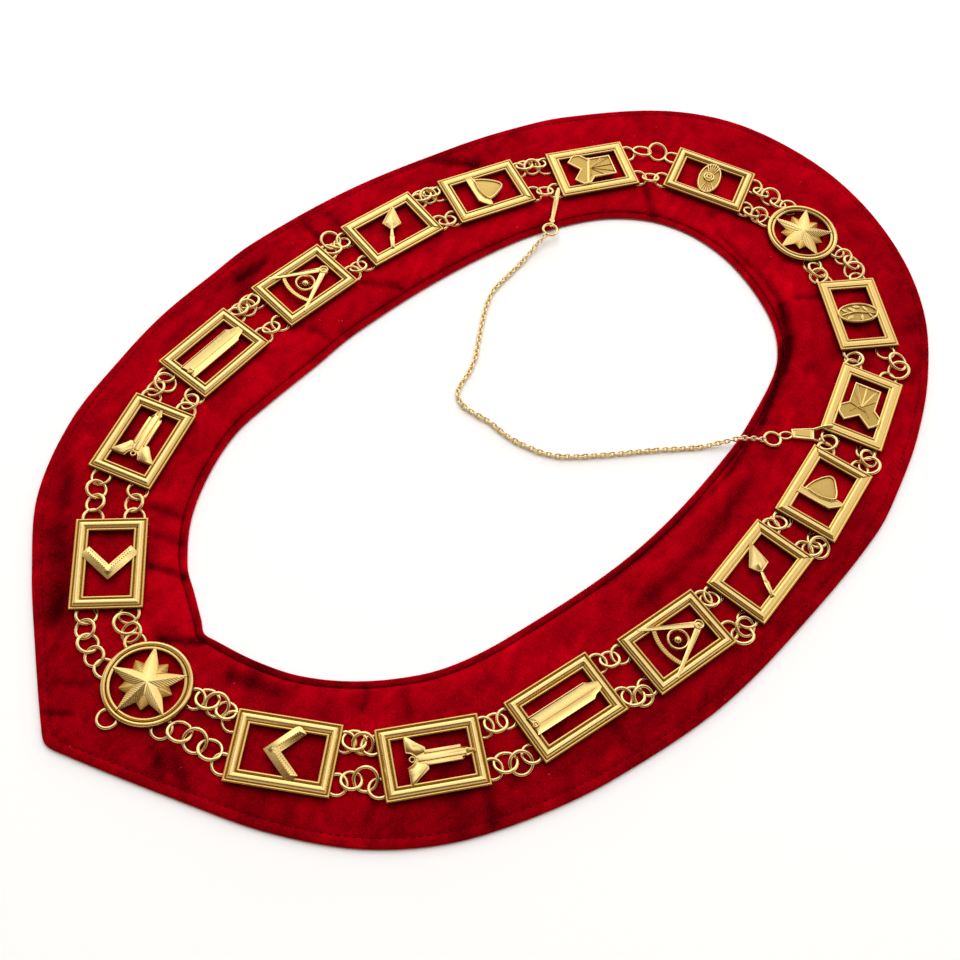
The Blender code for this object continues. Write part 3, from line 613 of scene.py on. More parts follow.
def level_emblem():
    """Builder's level: two wings, a pivot ring between them and a ruled stem with a stepped end."""
    wing = ((-6.9, 1), (-8.2, 2.6), (-10.2, 3.4), (-10.2, 10.6), (-8.3, 9.5), (-6.3, 7.6), (-2.2, 4.6))
    stem = ((-2, 3.1), (11.4, 3.1), (13, 2), (14.2, 1.7), (16.6, 0.9))
    leaf = [(-6.2, 1.4), (-7.9, 2.9), (-10, 3.7), (-10, 10.4), (-8.3, 9.2), (-6.3, 7.4), (-2.5, 4.4)]
    leaf += [(-2.4, 2.6)]
    border = ((-10.3, 3.2, 1.9), (-8.4, 2.5, 2.1), (-7.2, 1.4, 2.1), (-6.4, 0.2, 2.0))
    yield plate(mirrored(wing + stem), 1.4, 1.6, 0.2)
    yield bar((-6, 0), (13.4, 0), 2.2, 2.0, 2.1, 2.55, 1.4)
    yield bar((12.8, 0), (16.9, 0), 1.9, 1.4, 1.7, 2.4, 1.2)
    yield hoop(-8.2, 0, 1.9, 1.05, 0.72)
    for side in (1, -1):
        yield plate([(x, side * y) for x, y in leaf], 1.75, 2.1, 0.45)
        yield bar((-3, side * 2.45), (11.6, side * 2.45), 1.3, 1.2, 2.0, 2.3, 1.4)
        yield bar((11.2, side * 2.2), (13.4, side * 1.6), 0.8, 0.7, 1.8, 2.3, 1.4)
        yield tube([(x, side * y, z) for x, y, z in border], 0.32, 8)


def plumb_emblem():
    """Plumb rule: a long board hollowed along its middle, a rail on one side and a notch with a ring."""
    outline = mirrored(((-14, 1.7), (-17, 4.1), (11.4, 4.1), (13, 2.9), (15.2, 2.3), (17.4, 1.3)))
    spine = -0.3
    hollow = [(x, spine) for x in (-13, -15.2, 10.4, 11.8, 13.4, 15.6)]
    edge, far_edge = [2.2, 2.9, 2.9, 2.5, 2.3, 2.1], [2.0, 2.45, 2.45, 2.25, 2.1, 2.0]
    yield ridged(outline, edge + far_edge[::-1], hollow + hollow[::-1], 1.6)
    yield bar((-16.6, 3.75), (11.3, 3.75), 0.7, 0.7, 2.8, 3.05, 1.2)
    yield tube([(-13.4, spine, 1.7), (0, spine, 1.72), (14.8, spine, 1.7)], 0.3, 6)
    yield hoop(-15.2, 0.1, 1.9, 1.0, 0.8)


def dividers_emblem():
    """Pair of dividers with a turned hinge, open over a ruled arc and round a small sun in a ring."""
    hinge, sun = (12, 0), (0.5, 0)
    arc = [hinge + np.array(polar(20.4, turn)) for turn in range(152, 209, 4)]
    arc += [hinge + np.array(polar(18.4, turn)) for turn in range(208, 151, -4)]
    yield plate(arc, 1.5, 1.8, 0.25)
    for turn in np.linspace(153.5, 206.5, 19):
        near, far = (hinge + np.array(polar(size, turn)) for size in (18.7, 20))
        yield bar(near, far, 0.42, 0.42, 1.8, 2.15, 1.4)
    yield hoop(*sun, 1.75, 4.4, 1.2, 32)
    yield stud(*sun, 1.7, 2.5, LOW, 16)
    for index in range(12):
        near, far = (sun + np.array(polar(reach, 30 * index)) for reach in (1.5, 3.2 if index % 3 else 4.2))
        yield bar(near, far, 0.7, 0.35, 1.3, 1.9)
    for side in (1, -1):
        yield bar((11, side * 0.9), (-11.4, side * 12.9), 2.6, 1.1, 2.35, 2.55, LOW, 2.7)
        yield bar((9.4, side * 2.5), (-7.4, side * 11.5), 0.5, 0.45, 2.45, 2.75, 1.6)
    yield stud(*hinge, 2.4, 2.5, LOW, 20)
    yield hoop(*hinge, 2.4, 1.9, 0.84, 24)
    yield stud(*hinge, 1.0, 3.0, LOW, 12)


def trowel_emblem():
    """Pointing trowel: a blade with a thin border and a ridge, and a slender handle."""
    blade = [(8.6, 11.6), (-2.7, 4.8), (-1.6, 0.2), (-0.6, -1.1), (5.2, -0.5)]
    yield ridged(blade, 1.5, [(7, 9.4), (1.3, 2.6), (0.9, 2.1), (0.9, 2.1), (1.3, 2.6)], 2.9)
    yield piping(blade, 0.3, 0.36, 1.75)
    yield bar((-0.7, -0.6), (-4.3, -5.7), 1.0, 2.0, 1.9, 2.1, LOW, 2.4)
    yield bar((-3.7, -4.9), (-7.7, -10.9), 2.2, 1.7, 2.0, 2.5)
    yield tube([(-4.2, -5.4, 2.45), (-7.4, -10.3, 2.5)], 0.25, 6)


def dome_emblem():
    """Domed hive on its board: a smooth, low swell inside a thin raised border."""
    board = [
        (-7.1, 10.4), (-7.1, -5.4), (-2.8, -9.9), (-1, -9.9), (-0.7, -6.6),
        (-3, -4.6), (-4.2, 0), (-4.2, 4.6), (-3.2, 8.2), (-3.6, 10.4),
    ]
    dome = [
        (-4.2, 8.6), (-2.4, 8.2), (0, 7.5), (2.2, 6.6), (4.3, 5.4), (6.2, 4.1), (7.8, 2.7), (8.7, 1.5),
        (9, 0.3), (8.6, -0.8), (7.4, -2), (5.4, -3.4), (3.4, -4.7), (1.5, -5.6), (-0.8, -6.2), (-2.2, -5),
        (-3.3, -2.6), (-4, 0.4), (-4.1, 3.6), (-3.7, 6.2),
    ]
    yield plate(board, 1.6, 1.9, 0.35)
    yield plate(dome, 1.6, 1.8, 0.2)
    yield swell(dome, 0.6, 1.75, 2.05, (1.2, 0.9), 6)
    yield piping(dome, 0.4, 0.42, 2.05)
    yield piping(board, 0.35, 0.36, 1.8)
    yield tube([(-6.7, 10.2, 1.85), (-6.7, -5.2, 1.85), (-2.7, -9.4, 1.85), (-1.3, -9.4, 1.85)], 0.25, 8)


def block_emblem(crossed):
    """Squared block scored with rays and two ribbons, with raised borders on a matted ground."""
    outline = mirrored(((-6.6, 0), (-11.8, 6), (-8, 9.9), (-4, 9.9), (-0.8, 6.4), (11.4, 6.4)))
    yield ground(outline, 1.7)
    yield piping(outline, 0.4, 0.42, 1.9)
    for far in ((10.9, 5), (6.4, 5.9), (11, 0.4), (10.9, -4.4), (5.2, -5.9)):
        yield bar((-1.4, 0.1), far, 0.5, 0.9, 1.76, 2.0, 1.4)
    if crossed:
        yield bar((0.4, 6.9), (-5.6, -10.2), 1.7, 1.5, 1.8, 2.5, 1.2)
        yield bar((0.6, 4.6), (-2.2, -4.8), 0.7, 0.6, 1.8, 2.3, 1.2)
    else:
        yield bar((-0.2, 0.4), (-5.6, 4.6), 0.8, 0.7, 1.76, 2.05, 1.4)
        yield bar((-0.2, -0.4), (-5.6, -4.6), 0.8, 0.7, 1.76, 2.05, 1.4)
        yield bar((-1, 5.8), (-3.4, -3), 0.8, 0.6, 1.76, 2.05, 1.4)


OVAL_X, OVAL_RADIUS, OVAL_STRETCH = -0.2, 5.7, 1.84


def oval_base():
    """Oval plate with a thin border and a low matted swell."""
    oval = disc(OVAL_X, 0, OVAL_RADIUS, 40, OVAL_STRETCH)
    yield plate(oval, 1.3, 1.45, 0.15)
    yield swell(oval, 0.4, 1.45, 1.65, (OVAL_X, 0), 5)
    yield piping(oval, 0.4, 0.42, 1.9)


def eye_emblem():
    """Oval with flutes fanned at both ends and a shell-like eye in the middle."""
    yield from oval_base()
    for turn in (*np.linspace(56, 128, 6), *np.linspace(246, 316, 6)):
        flute = []
        for size, off in ((0.34, -3.44), (1.0, -4.01), (1.04, 0), (1.0, 4.01), (0.34, 3.44)):
            flute.append((OVAL_X, 0) + np.array(polar(OVAL_RADIUS * size, turn + off, OVAL_STRETCH)))
        yield plate(flute, 2.2, 2.4, 0.12, 1.2)
    yield hoop(-0.7, 0.7, 2.0, 2.5, 1.0, 24)
    yield hoop(-0.7, 0.7, 2.2, 1.2, 0.9, 24)
    yield stud(-0.7, 0.7, 0.5, 2.6, 1.4, 10)


def leaf_emblem():
    """Oval with a spray of leaves in low, soft relief."""
    yield from oval_base()
    stem = [(-1.6, -9.2, 1.8), (-0.6, -4.6, 2.0), (0.2, 0.4, 2.05), (-0.4, 5.2, 2.0), (-1.4, 8.8, 1.8)]
    yield tube(smooth_path(stem, 4, False), 0.45, 8)
    rim = ((-1, 0), (-0.5, 0.36), (0.2, 0.42), (0.7, 0.26), (1, 0), (0.7, -0.22), (0.2, -0.32), (-0.5, -0.26))
    outline = smooth_path(rim, 3, True)
    for x, y, turn, reach in (  # middle, direction of the tip in degrees, length
        (1.9, 2.4, 62, 5.0), (3.4, -0.2, 80, 4.6), (-2.9, -1.4, 160, 4.4), (-2.6, 4.6, 120, 4.6),
        (1.4, 6.6, 50, 3.6), (1.8, -4.4, 30, 4.2), (-2.0, -6.0, 200, 3.6),
    ):
        along = np.array(polar(1.0, turn))
        aside = np.array((-along[1], along[0]))
        leaf = [np.array((x, y)) + reach / 2 * (a * along + b * aside) for a, b in outline]
        yield crown(leaf, 1.75, 2.2, np.array((x, y)) - 0.12 * reach * aside, 1.2)


def gilt(name, rough, grain_scale, dents, stops):
    """Gold plate, electroplated over brass, coloured by height: painted shade brown in the hollows and low
    down, full gold higher up.

    The stops give the colour by height over the piece's origin, where 1 stands for 2.5 mm.
    """
    material, tree, shader, place = new_material(name)
    height = add_node(tree, "SeparateXYZ", {"Vector": place}).outputs["Z"]
    grain = lumps(tree, place, grain_scale, 5, 0.6)
    fill_inputs(tree, shader, {
        "Metallic": 1.0,
        "Base Color": shades(tree, calculate(tree, "DIVIDE", height, 2.5 * MM), stops),
        "Roughness": spread(tree, grain, 0.3, 0.7, rough, rough + 0.12),
        "Normal": bumped(tree, grain, 0.3, dents),
    })
    return material


# Colour by height for the castings and their matted grounds: the dark brown low stops are painted shade in
# the grooves and hollows.
CAST_STOPS = ((0.3, "#5E3E0E"), (0.45, "#825A1C"), (0.53, "#C89A4C"), (0.61, "#E8C476"), (1.0, "#F4D68E"))
MATTED_STOPS = ((0.45, "#7A5216"), (0.6, "#B8954C"), (0.8, "#CCAA60"), (1.0, "#D6B66C"))
# Castings, plated and buffed: a soft mirror with casting grain, drawn at about a millimetre so that it shows.
cast_gilt = gilt("brass castings, gold-plated", 0.17, 900, 0.005 * MM, CAST_STOPS)
# Sunk grounds, matted with a punch: they scatter the light, so they look flat and pale.
matted_gilt = gilt("brass castings, gold-plated, matted ground", 0.36, 1800, 0.03 * MM, MATTED_STOPS)
DEEP_FRAME, MIXED_FRAME = bar_frame(DEEP, DEEP), bar_frame(SHALLOW, DEEP)
FLAT_FRAME = bar_frame(SHALLOW, SHALLOW)
EMBLEMS = {  # by number, and by side where the two differ: name, frame, bodies
    1: ("square", DEEP_FRAME, square_emblem()),
    2: ("level", DEEP_FRAME, level_emblem()),
    3: ("plumb", DEEP_FRAME, plumb_emblem()),
    4: ("dividers", DEEP_FRAME, dividers_emblem()),
    5: ("trowel", MIXED_FRAME, trowel_emblem()),
    6: ("dome", MIXED_FRAME, dome_emblem()),
    ("left", 7): ("block", FLAT_FRAME, block_emblem(True)),
    ("right", 7): ("block", FLAT_FRAME, block_emblem(False)),
    ("left", 8): ("oval", DEEP_FRAME, eye_emblem()),
    ("right", 8): ("oval", FLAT_FRAME, leaf_emblem()),
}
LUG_ALONG = BAR_LENGTH / 2 - LUG_IN
eyes = [eye_post(x, y, 0.8) for x in (-LUG_ALONG, LUG_ALONG) for y in (-LUG_ASIDE, LUG_ASIDE)]
bar_meshes = {}
for side, places in BAR_PLACES.items():
    for number, (x, y, heading) in enumerate(places, 1):
        key = number if number in EMBLEMS else (side, number)
        emblem, frame_body, bodies = EMBLEMS[key]
        if key not in bar_meshes:
            bar_meshes[key] = new_mesh(f"{emblem} medallion", [frame_body, *bodies, *eyes], sharp=38)
        place = Matrix.Translation((x * MM, y * MM, BAR_BASE * MM))
        place @= Matrix.Rotation(math.radians(heading), 4, "Z")
        name, metals = f"{side}_{number}", [cast_gilt, matted_gilt]
        add_piece(f"medallion_{name}", bar_meshes[key], metals, [f"{name}_{emblem}"], place=place)

# ---- Star medallions
# Round castings with a moulding of two rounded rings, one at the front point and one at the back. A star of
# five points stands on a smaller one turned by 36 degrees, and both are chased with barbs like a feather's.

STAR_MIDDLE, STAR_RADIUS, STAR_FRAME_SIDES = 195.9, 18.3, 128
STAR_MOULDING = (  # the same for the round frames: a half-round ring, a groove and a smaller ring
    (0, 0), (0, 0.8), (0.12, 1.2), (0.38, 1.6), (0.78, 1.9), (1.2, 2), (1.6, 1.9), (1.95, 1.6), (2.15, 1.25),
    (2.25, 1), (2.45, 1), (2.5, 1.3), (2.68, 1.55), (3, 1.7), (3.4, 1.66), (3.72, 1.42), (3.92, 1.1),
    (4, 0.8), (4, 0),
)
SMALL_STAR = (11.3, 7.6, 1.35, 1.2, 1.9)  # reach of the points and dips, their heights, the peak's height
LARGE_STAR = (16.1, 6.6, 1.85, 1.15, 2.95)
STAR_TURNS = {"front": 8.0, "back": -1.0}
STAR_LUGS = {  # degrees from +Y towards -X, by star and by the side and strand that hangs there
    "front": {"left_outer": 125, "left_inner": 72, "right_inner": -53, "right_outer": -113},
    "back": {"left_outer": 58, "left_inner": 115, "right_outer": -64, "right_inner": -123},
}
STAR_LUG_REACH, JEWEL_RING_HEADING = STAR_RADIUS - 1.1, 185.0
BARBS, BARB_DEPTH = 24, 0.16


def chased_star(sizes, first):
    """Star whose arms have a ridge from the peak to the tip, with barbs chased off both sides of it."""
    point, valley, tip_height, dip_height, peak = sizes
    size = BARBS + 1
    shares = np.linspace(0, 1, size)[:, None]
    sunk = np.outer(np.arange(size) % 2, (0, 0, BARB_DEPTH))
    points, faces, outline = [], [], []
    for index in range(10):  # half arms, by turns before and after their tip
        after = index % 2
        tip = np.array((*polar(point, first + 36 * (index + after)), tip_height))
        dip = np.array((*polar(valley, first + 36 * (index + 1 - after)), dip_height))
        spine = (0, 0, peak) + (tip - (0, 0, peak)) * shares - 0.4 * sunk
        rim = dip + (tip - dip) * shares - sunk
        start = len(points)
        points += [*spine, *rim, *[(x, y, LOW) for x, y, _ in rim]]
        for a in range(start, start + BARBS):
            b, c = a + size, a + 2 * size
            faces += [[a, b, b + 1, a + 1], [b, c, c + 1, b + 1]]
        under = list(range(start + 2 * size, start + 3 * size))
        outline += (under if after else under[::-1])[:-1]
    return points, [*faces, outline]


round_stations = [(STAR_MOULDING, math.cos(turn), math.sin(turn)) for turn in turns(STAR_FRAME_SIDES)]
star_frame = moulding(round_stations, STAR_RADIUS, STAR_RADIUS)
for star, end in (("front", -1), ("back", 1)):
    lugs = [*STAR_LUGS[star].values(), *([JEWEL_RING_HEADING] if star == "front" else [])]
    posts = [eye_post(*polar(STAR_LUG_REACH, turn), 0.5) for turn in lugs]
    turned = 180.0 + STAR_TURNS[star]
    bodies = [star_frame, chased_star(SMALL_STAR, turned + 36), chased_star(LARGE_STAR, turned), *posts]
    place = Matrix.Translation((0, end * STAR_MIDDLE * MM, BAR_BASE * MM))
    place @= Matrix.Rotation(math.pi / 2, 4, "Z")
    mesh = new_mesh(f"{star} star medallion", bodies, sharp=20)
    add_piece(f"star_medallion_{star}", mesh, [cast_gilt], [f"star_{star}"], place=place)

# ---- Jump rings
# Two strands of round gold-plated wire rings, small and large ones mixed, run from star to star on each side.
# They lie loosely on the velvet, each tipped against the next, and the end ones pass under the medallions.

RING_RADIUS = {"s": 4.1, "L": 4.7}
RING_WIRE = 1.52
RING_FROM_LUG = 2.6
RING_REST = 3.8 + RING_WIRE / 2  # middle of the wire of a ring that lies flat on the pile
STRANDS = {  # gaps from the front star to the back one: small and large rings, bow outwards, zigzag
    ("left", "outer"): (
        ("sssss", 3, 0), ("ssss", 0.5, 0.4), ("ssLs", -1, -1.2), ("sssLs", 0.3, -1), ("ssLss", 2, 2.2),
        ("sLsss", 1.5, -1), ("ssssL", 1, -1), ("sLLs", 2.6, 0), ("ssLss", -1.5, 0.6),
    ),
    ("left", "inner"): (
        ("ssLs", 1.6, 0.8), ("sss", 0.8, 0), ("sss", 0.4, 0.3), ("sss", 0.4, 0), ("sss", 0.6, 0),
        ("sss", -0.6, 0.3), ("sss", 0, 0), ("sss", 0.3, 0), ("ssss", 0, 0.4),
    ),
    ("right", "outer"): (
        ("sLLLs", -2.6, 0.3), ("ssLs", -2.6, -0.5), ("sLLs", 1, 1.2), ("sLss", 2.6, 0.8), ("sLss", 4, -1.2),
        ("ssLs", 3, 0.8), ("sLss", 3, -0.8), ("sLLs", 6, 0), ("sLsss", 2, 0.6),
    ),
    ("right", "inner"): (
        ("sLLss", -2.6, 0.3), ("sLss", -0.5, 0.4), ("sLs", 0.3, 0), ("sss", 0.4, 0), ("sss", 1.2, 0),
        ("sss", 0.4, 0.3), ("sss", 0, 0.4), ("sss", 0.5, 0), ("ssLs", -1, 0.8),
    ),
}
RING_TIPS = {3: (9, -22, 9), 4: (9, -20, 20, -9), 5: (9, -20, 16, -20, 9)}  # degrees, by rings in the gap
END_LIFT, INNER_LIFT, LIFT_SPREAD, LEAN_SPREAD = 0.1, 1.0, 0.25, 4.0  # above the pile; the lean in degrees

# Drawn wire: smoother and brighter than the castings, and the same colour all round.
WIRE_STOPS = ((0.0, "#F8DE98"), (1.0, "#F8DE98"))
drawn_gilt = gilt("brass wire, gold-plated", 0.16, 900, 0.01 * MM, WIRE_STOPS)


def star_lug(end, turn):
    """Plan place of a star's lug: end is 1 for the back star and -1 for the front one."""
    return np.array((0, end * STAR_MIDDLE)) + polar(STAR_LUG_REACH, turn + 90)


def strand_ends(side, strand):
    """Plan places of the lugs at both ends of each gap, from the front star to the back one."""
    outwards = LUG_ASIDE if (side == "left") == (strand == "outer") else -LUG_ASIDE
    lugs = [star_lug(-1, STAR_LUGS["front"][f"{side}_{strand}"])]
    for x, y, heading in BAR_PLACES[side]:
        middle = np.array((x, y)) + polar(outwards, heading + 90)
        lugs += [middle - polar(LUG_ALONG, heading), middle + polar(LUG_ALONG, heading)]
    lugs.append(star_lug(1, STAR_LUGS["back"][f"{side}_{strand}"]))
    return list(zip(lugs[::2], lugs[1::2]))


def tipped_ring(middle, radius, wire, along, tip, lean=0.0):
    """Ring of round wire, tipped about the strand's line and leaning along it, in degrees."""
    tip, lean = math.radians(tip), math.radians(lean)
    first = radius * np.array((along[0] * math.cos(lean), along[1] * math.cos(lean), math.sin(lean)))
    second = radius * np.array((-along[1] * math.cos(tip), along[0] * math.cos(tip), math.sin(tip)))
    return wire_loop(middle, first, second, wire)


def strand_rings(start, end, sizes, bow, zigzag, side):
    """Rings between two lugs, on an arc that bows away from the neck opening, with a zigzag."""
    along = unit(end - start)
    outwards = np.array((-along[1], along[0])) * (1 if side == "left" else -1)
    first, last = start + along * RING_FROM_LUG, end - along * RING_FROM_LUG
    count = len(sizes)
    rings = []
    for index, (size, tip) in enumerate(zip(sizes, RING_TIPS[count])):
        share = index / (count - 1)
        aside, lift, lean = bow * 4 * share * (1 - share), END_LIFT, 0.0
        inside = 0 < index < count - 1
        if inside:
            aside += zigzag * (-1) ** index
        place = first + (last - first) * share + outwards * aside
        if inside:
            lift = INNER_LIFT + LIFT_SPREAD * math.sin(2.3 * index + place[0])
            lean = LEAN_SPREAD * math.sin(place[1] * 1.7 + index)
        rings.append(tipped_ring((*place, RING_REST + lift), RING_RADIUS[size], RING_WIRE, along, tip, lean))
    return rings


for (side, strand), gaps in STRANDS.items():
    for number, ((start, end), (sizes, bow, zigzag)) in enumerate(zip(strand_ends(side, strand), gaps), 1):
        name = f"{side}_{strand}_{number}"
        mesh = new_mesh(f"jump rings {name}", strand_rings(start, end, sizes, bow, zigzag, side))
        add_piece(f"jump_rings_{name}", mesh, [drawn_gilt], [f"rings_{name}"])

away = np.array(polar(1.0, JEWEL_RING_HEADING + 90))
jewel_place = star_lug(-1, JEWEL_RING_HEADING) + away * RING_FROM_LUG
jewel = tipped_ring((*jewel_place, RING_REST + END_LIFT), RING_RADIUS["s"], RING_WIRE, away, 5.0)
add_piece("ring_for_jewel", new_mesh("ring for jewel", [jewel]), [drawn_gilt], ["jewel_ring"])

# ---- Neck chain and clasps
# A fine cable chain of oval wire links keeps the collar from sliding off the shoulders. It lies slack in the
# opening, with a slim lobster claw on the left end and a bare spring clasp with two wire jaws on the right.

CHAIN_LIE = 1.25
CHAIN_ROUTE = (  # x, y and, where it hangs, height: from the left clasp's ring to the right one's
    (-78.8, 89.5, 4.7), (-77, 80, 2.7), (-74.8, 70), (-72.4, 58), (-70, 48), (-65, 39), (-52, 23), (-45, 15),
    (-40.5, 7.5), (-34.5, -5), (-27, -7.6), (-13.5, -4), (1.7, -1.3), (18.5, 7.6), (31.4, 24.5), (44, 45),
    (57, 65), (62, 74, 3), (66, 80.5, 5), (70, 85.3, 5.3), (73.1, 88.6, 5.1),
)
LINK_PITCH, LINK_LENGTH, LINK_WIDTH, LINK_WIRE = 2.1, 3.8, 2.8, 0.86
LINK_ROLL, ROLL_SPREAD = 0.78, 0.25  # radians, to either side by turns


def oval_link(middle, along, roll, length, width, wire, sides=16, round_sides=6):
    """Oval wire link, its long way along the chain, rolled about it in radians."""
    flat = unit(np.cross((0, 0, 1), along))
    aside = math.cos(roll) * flat + math.sin(roll) * np.cross(along, flat)
    first, second = (length - wire) / 2 * np.array(along), (width - wire) / 2 * aside
    return wire_loop(middle, first, second, wire, sides, round_sides)


route = [(x, y, *(height or (CHAIN_LIE,))) for x, y, *height in CHAIN_ROUTE]
chain_path = even_path(smooth_path(route, 12, False), LINK_PITCH)
links = []
for index, (point, way) in enumerate(zip(chain_path, np.gradient(chain_path, axis=0))):
    roll = (LINK_ROLL if index % 2 else -LINK_ROLL) + ROLL_SPREAD * math.sin(index * 1.9)
    links.append(oval_link(point, unit(way), roll, LINK_LENGTH, LINK_WIDTH, LINK_WIRE))
# Fine wire, coloured by height: painted shade brown low down between the links, and a painted highlight,
# paler, on top.
CHAIN_STOPS = ((0.0, "#C89848"), (0.3, "#EECC84"), (0.6, "#FCE2A4"), (1.0, "#FFE8B4"))
fine_gilt = gilt("brass chain, gold-plated", 0.18, 1500, 0.01 * MM, CHAIN_STOPS)
add_piece("neck_chain_links", new_mesh("neck chain", links), [fine_gilt], ["neck_chain"])

CLASP_LOW, CLASP_RING_WIRE = 4.1, 1.45


def clasp_places(start, towards):
    """The clasp's direction, and a function that gives the plan place at a reach along it and aside of it."""
    start, along = np.array(start), unit(np.array(towards) - start)
    across = np.array((-along[1], along[0]))
    return along, lambda reach, aside: start + reach * along + aside * across


left_way, left_at = clasp_places((-80.1, 94.0), (-93.6, 110.6))
claw_sections = []
for reach, height, half_width, half_depth in (  # slim, rounded, and lying on the frame at its far end
    (3.4, 5.0, 0.75, 0.5), (5.0, 5.3, 1.0, 0.8), (9.0, 5.6, 1.15, 0.85), (14.0, 6.0, 1.3, 0.85),
    (18.0, 7.6, 1.25, 0.7), (22.4, 8.6, 1.1, 0.55), (25.0, 8.7, 0.6, 0.4),
):
    rounds = [(half_width * math.cos(roll), height + half_depth * math.sin(roll)) for roll in turns(12)]
    claw_sections.append([(*left_at(reach, aside), z) for aside, z in rounds])
claw = [
    tipped_ring((*left_at(0, 0), CLASP_LOW + 0.7), 3.6, CLASP_RING_WIRE, left_way, 4.0),
    hoop(*left_at(3.4, 0), CLASP_LOW + 0.9, 1.0, 0.84, 16),
    loft(claw_sections, "capped"),
    hoop(*left_at(5.6, 0), CLASP_LOW + 1.5, 1.1, 0.6, 16),
    stud(*left_at(9, 0), 0.5, CLASP_LOW + 2.6, CLASP_LOW + 1.0),
    tube([(*left_at(6.4, 0), 6.2), (*left_at(14, 0), 6.8), (*left_at(17.6, 0), 8.1)], 0.3, 8),
]
add_piece("clasp_claw_left", new_mesh("lobster claw", claw, sharp=40), [drawn_gilt], ["clasp_left"])

right_way, right_at = clasp_places((75.7, 92.6), (87.2, 110.0))
shell = [right_at(*row) for row in (
    (9.6, -0.3), (18.7, -2.3), (19.4, -2), (20.8, 3.4), (20.2, 4), (9.9, 4.3),
)]
panel = [right_at(*row) for row in ((11, 0.9), (17.9, -0.7), (18.9, 2.7), (11.3, 3.2))]
jaws = (  # reach, aside, height
    ((19.6, 3.3, 5.2), (23.0, 3.4, 6.6), (25.6, 3.2, 8.2), (29.0, 2.9, 8.45)),
    ((18.6, -1.7, 5.2), (21.5, -2.8, 5.3), (24.6, -3.9, 5.4)),
)
snap = [
    tipped_ring((*right_at(0, 0), CLASP_LOW + 0.7), 3.8, CLASP_RING_WIRE, right_way, -4.0),
    oval_link((*right_at(6.6, 1.2), CLASP_LOW + 0.9), (*right_way, 0), 0.15, 7.2, 4.6, 1.25, 24, 8),
    plate(shell, CLASP_LOW + 1.2, CLASP_LOW + 1.5, 0.3, CLASP_LOW + 0.2),
    piping(shell, 0.4, 0.4, CLASP_LOW + 1.5),
    ground(panel, CLASP_LOW + 1.75, CLASP_LOW + 1.2),
]
for jaw in jaws:
    spine = smooth_path([(*right_at(reach, aside), height) for reach, aside, height in jaw], 4, False)
    snap.append(tube(spine, 0.6, 8, 0.8))
snap_mesh = new_mesh("spring clasp", snap, sharp=40)
add_piece("clasp_snap_right", snap_mesh, [drawn_gilt, matted_gilt], ["clasp_right"])

# ---- Table, light and camera
# A white paper table top, matt and level, in a pale room. The lamps are large and soft, and the widest one
# is behind to the left, as for a catalogue picture.

TABLE_HALF, TABLE_DROP = 4.0, 2e-4  # metres

table_white, tree, shader, _ = new_material("white paper, matt")
fill_inputs(tree, shader, {"Base Color": linear("#F4F4F4"), "Roughness": 0.9})
corners = [(x * TABLE_HALF, y * TABLE_HALF, -TABLE_DROP) for x, y in ((-1, -1), (1, -1), (1, 1), (-1, 1))]
floor_mesh = bpy.data.meshes.new("table top")
floor_mesh.from_pydata(corners, [], [(0, 1, 2, 3)])
floor_mesh.materials.append(table_white)
floor = bpy.data.objects.new("table_top", floor_mesh)
bpy.context.scene.collection.objects.link(floor)
floor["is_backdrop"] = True

# An overhead softbox, 1.6 m square, lights the cloth. The gold mirrors only the diffusers below it.
lamp = bpy.data.lights.new("overhead_softbox", "AREA")
lamp.shape, lamp.size, lamp.energy = "SQUARE", 1.6, 17.0
holder = bpy.data.objects.new("overhead_softbox", lamp)
holder.location = (-0.3, 0.3, 1.5)
holder.rotation_euler = (-holder.location).to_track_quat("-Z", "Y").to_euler()
holder.visible_glossy = False
bpy.context.scene.collection.objects.link(holder)

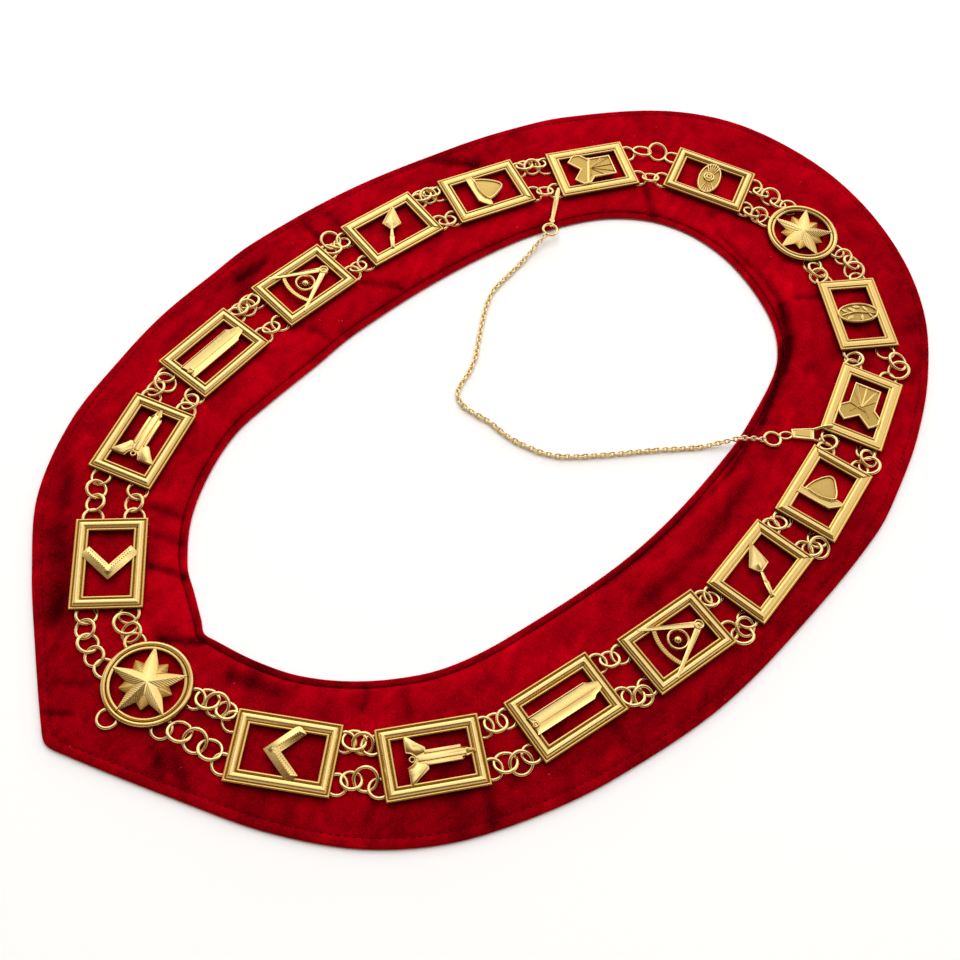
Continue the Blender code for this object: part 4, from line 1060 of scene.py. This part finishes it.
# The room: lamps shine through large diffusers above and round the table. The wall behind the camera is dark.
DIFFUSERS = (  # direction, cosines where the diffuser fades out and in, brightness
    ((-0.743, 0.578, 0.34), 0.0, 1.0, 0.7),
    ((-0.77, 0.63, 0.10), 0.6, 0.95, 1.1),
    ((-0.55, 0.28, 0.79), 0.94, 0.985, 0.9),
    ((0.12, 0.38, 0.915), 0.975, 0.992, 1.0),
    ((0.00, 0.68, 0.73), 0.93, 0.985, 0.45),
    ((-0.10, 0.08, 1.0), 0.96, 0.985, 0.9),
    ((0.54, 0.83, 0.15), 0.80, 0.87, 0.8),
    ((-0.92, -0.35, 0.17), 0.86, 0.95, 0.6),
    ((0.60, -0.60, 0.50), 0.6, 1.0, 0.22),
)
WALL_STOPS = ((0.05, "#FFB470"), (0.3, "#FFE4C4"), (0.6, "#FFFFFF"))  # dim walls are warm, diffusers white
WALL_GLOW, BACKDROP_GLOW = 0.06, 0.75
world = bpy.data.worlds.new("studio")
world.use_nodes = True
tree = world.node_tree
direction = add_node(tree, "TexCoord", {}).outputs["Generated"]
glow = 0.0
for aim, rim, core, bright in DIFFUSERS:
    towards = add_node(tree, "VectorMath", {0: direction, 1: aim}, operation="DOT_PRODUCT").outputs["Value"]
    glow = calculate(tree, "ADD", glow, spread(tree, towards, rim, core, 0.0, bright))
# A pale backdrop stands all round behind the table.
level = add_node(tree, "SeparateXYZ", {"Vector": direction}).outputs["Z"]
backdrop = spread(tree, level, 0.32, 0.12, 0.0, BACKDROP_GLOW)
glow = calculate(tree, "ADD", calculate(tree, "MAXIMUM", glow, backdrop), WALL_GLOW)
fill_inputs(tree, tree.nodes["Background"], {"Color": shades(tree, glow, WALL_STOPS), "Strength": glow})
bpy.context.scene.world = world
bpy.context.scene.view_settings.view_transform = "Standard"

camera = bpy.data.cameras.new("camera")
camera.lens, camera.sensor_width = 49.6, 36.0
VIEW_FROM = (0.20846, -0.25532, 0.509)
VIEW_AXES = (  # to the right, up and back towards the camera
    (0.6482, 0.7569, 0.0834), (-0.6817, 0.5280, 0.5064), (0.3393, -0.3851, 0.8583),
)
eye_point = bpy.data.objects.new("camera", camera)
eye_point.matrix_world = TO_ORIGIN @ Matrix.Translation(VIEW_FROM)
eye_point.matrix_world @= Matrix(VIEW_AXES).transposed().to_4x4()
bpy.context.scene.collection.objects.link(eye_point)
bpy.context.scene.camera = eye_point

boxes = [[list(map(float, corner)) for corner in box] for box in (cad_box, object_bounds())]
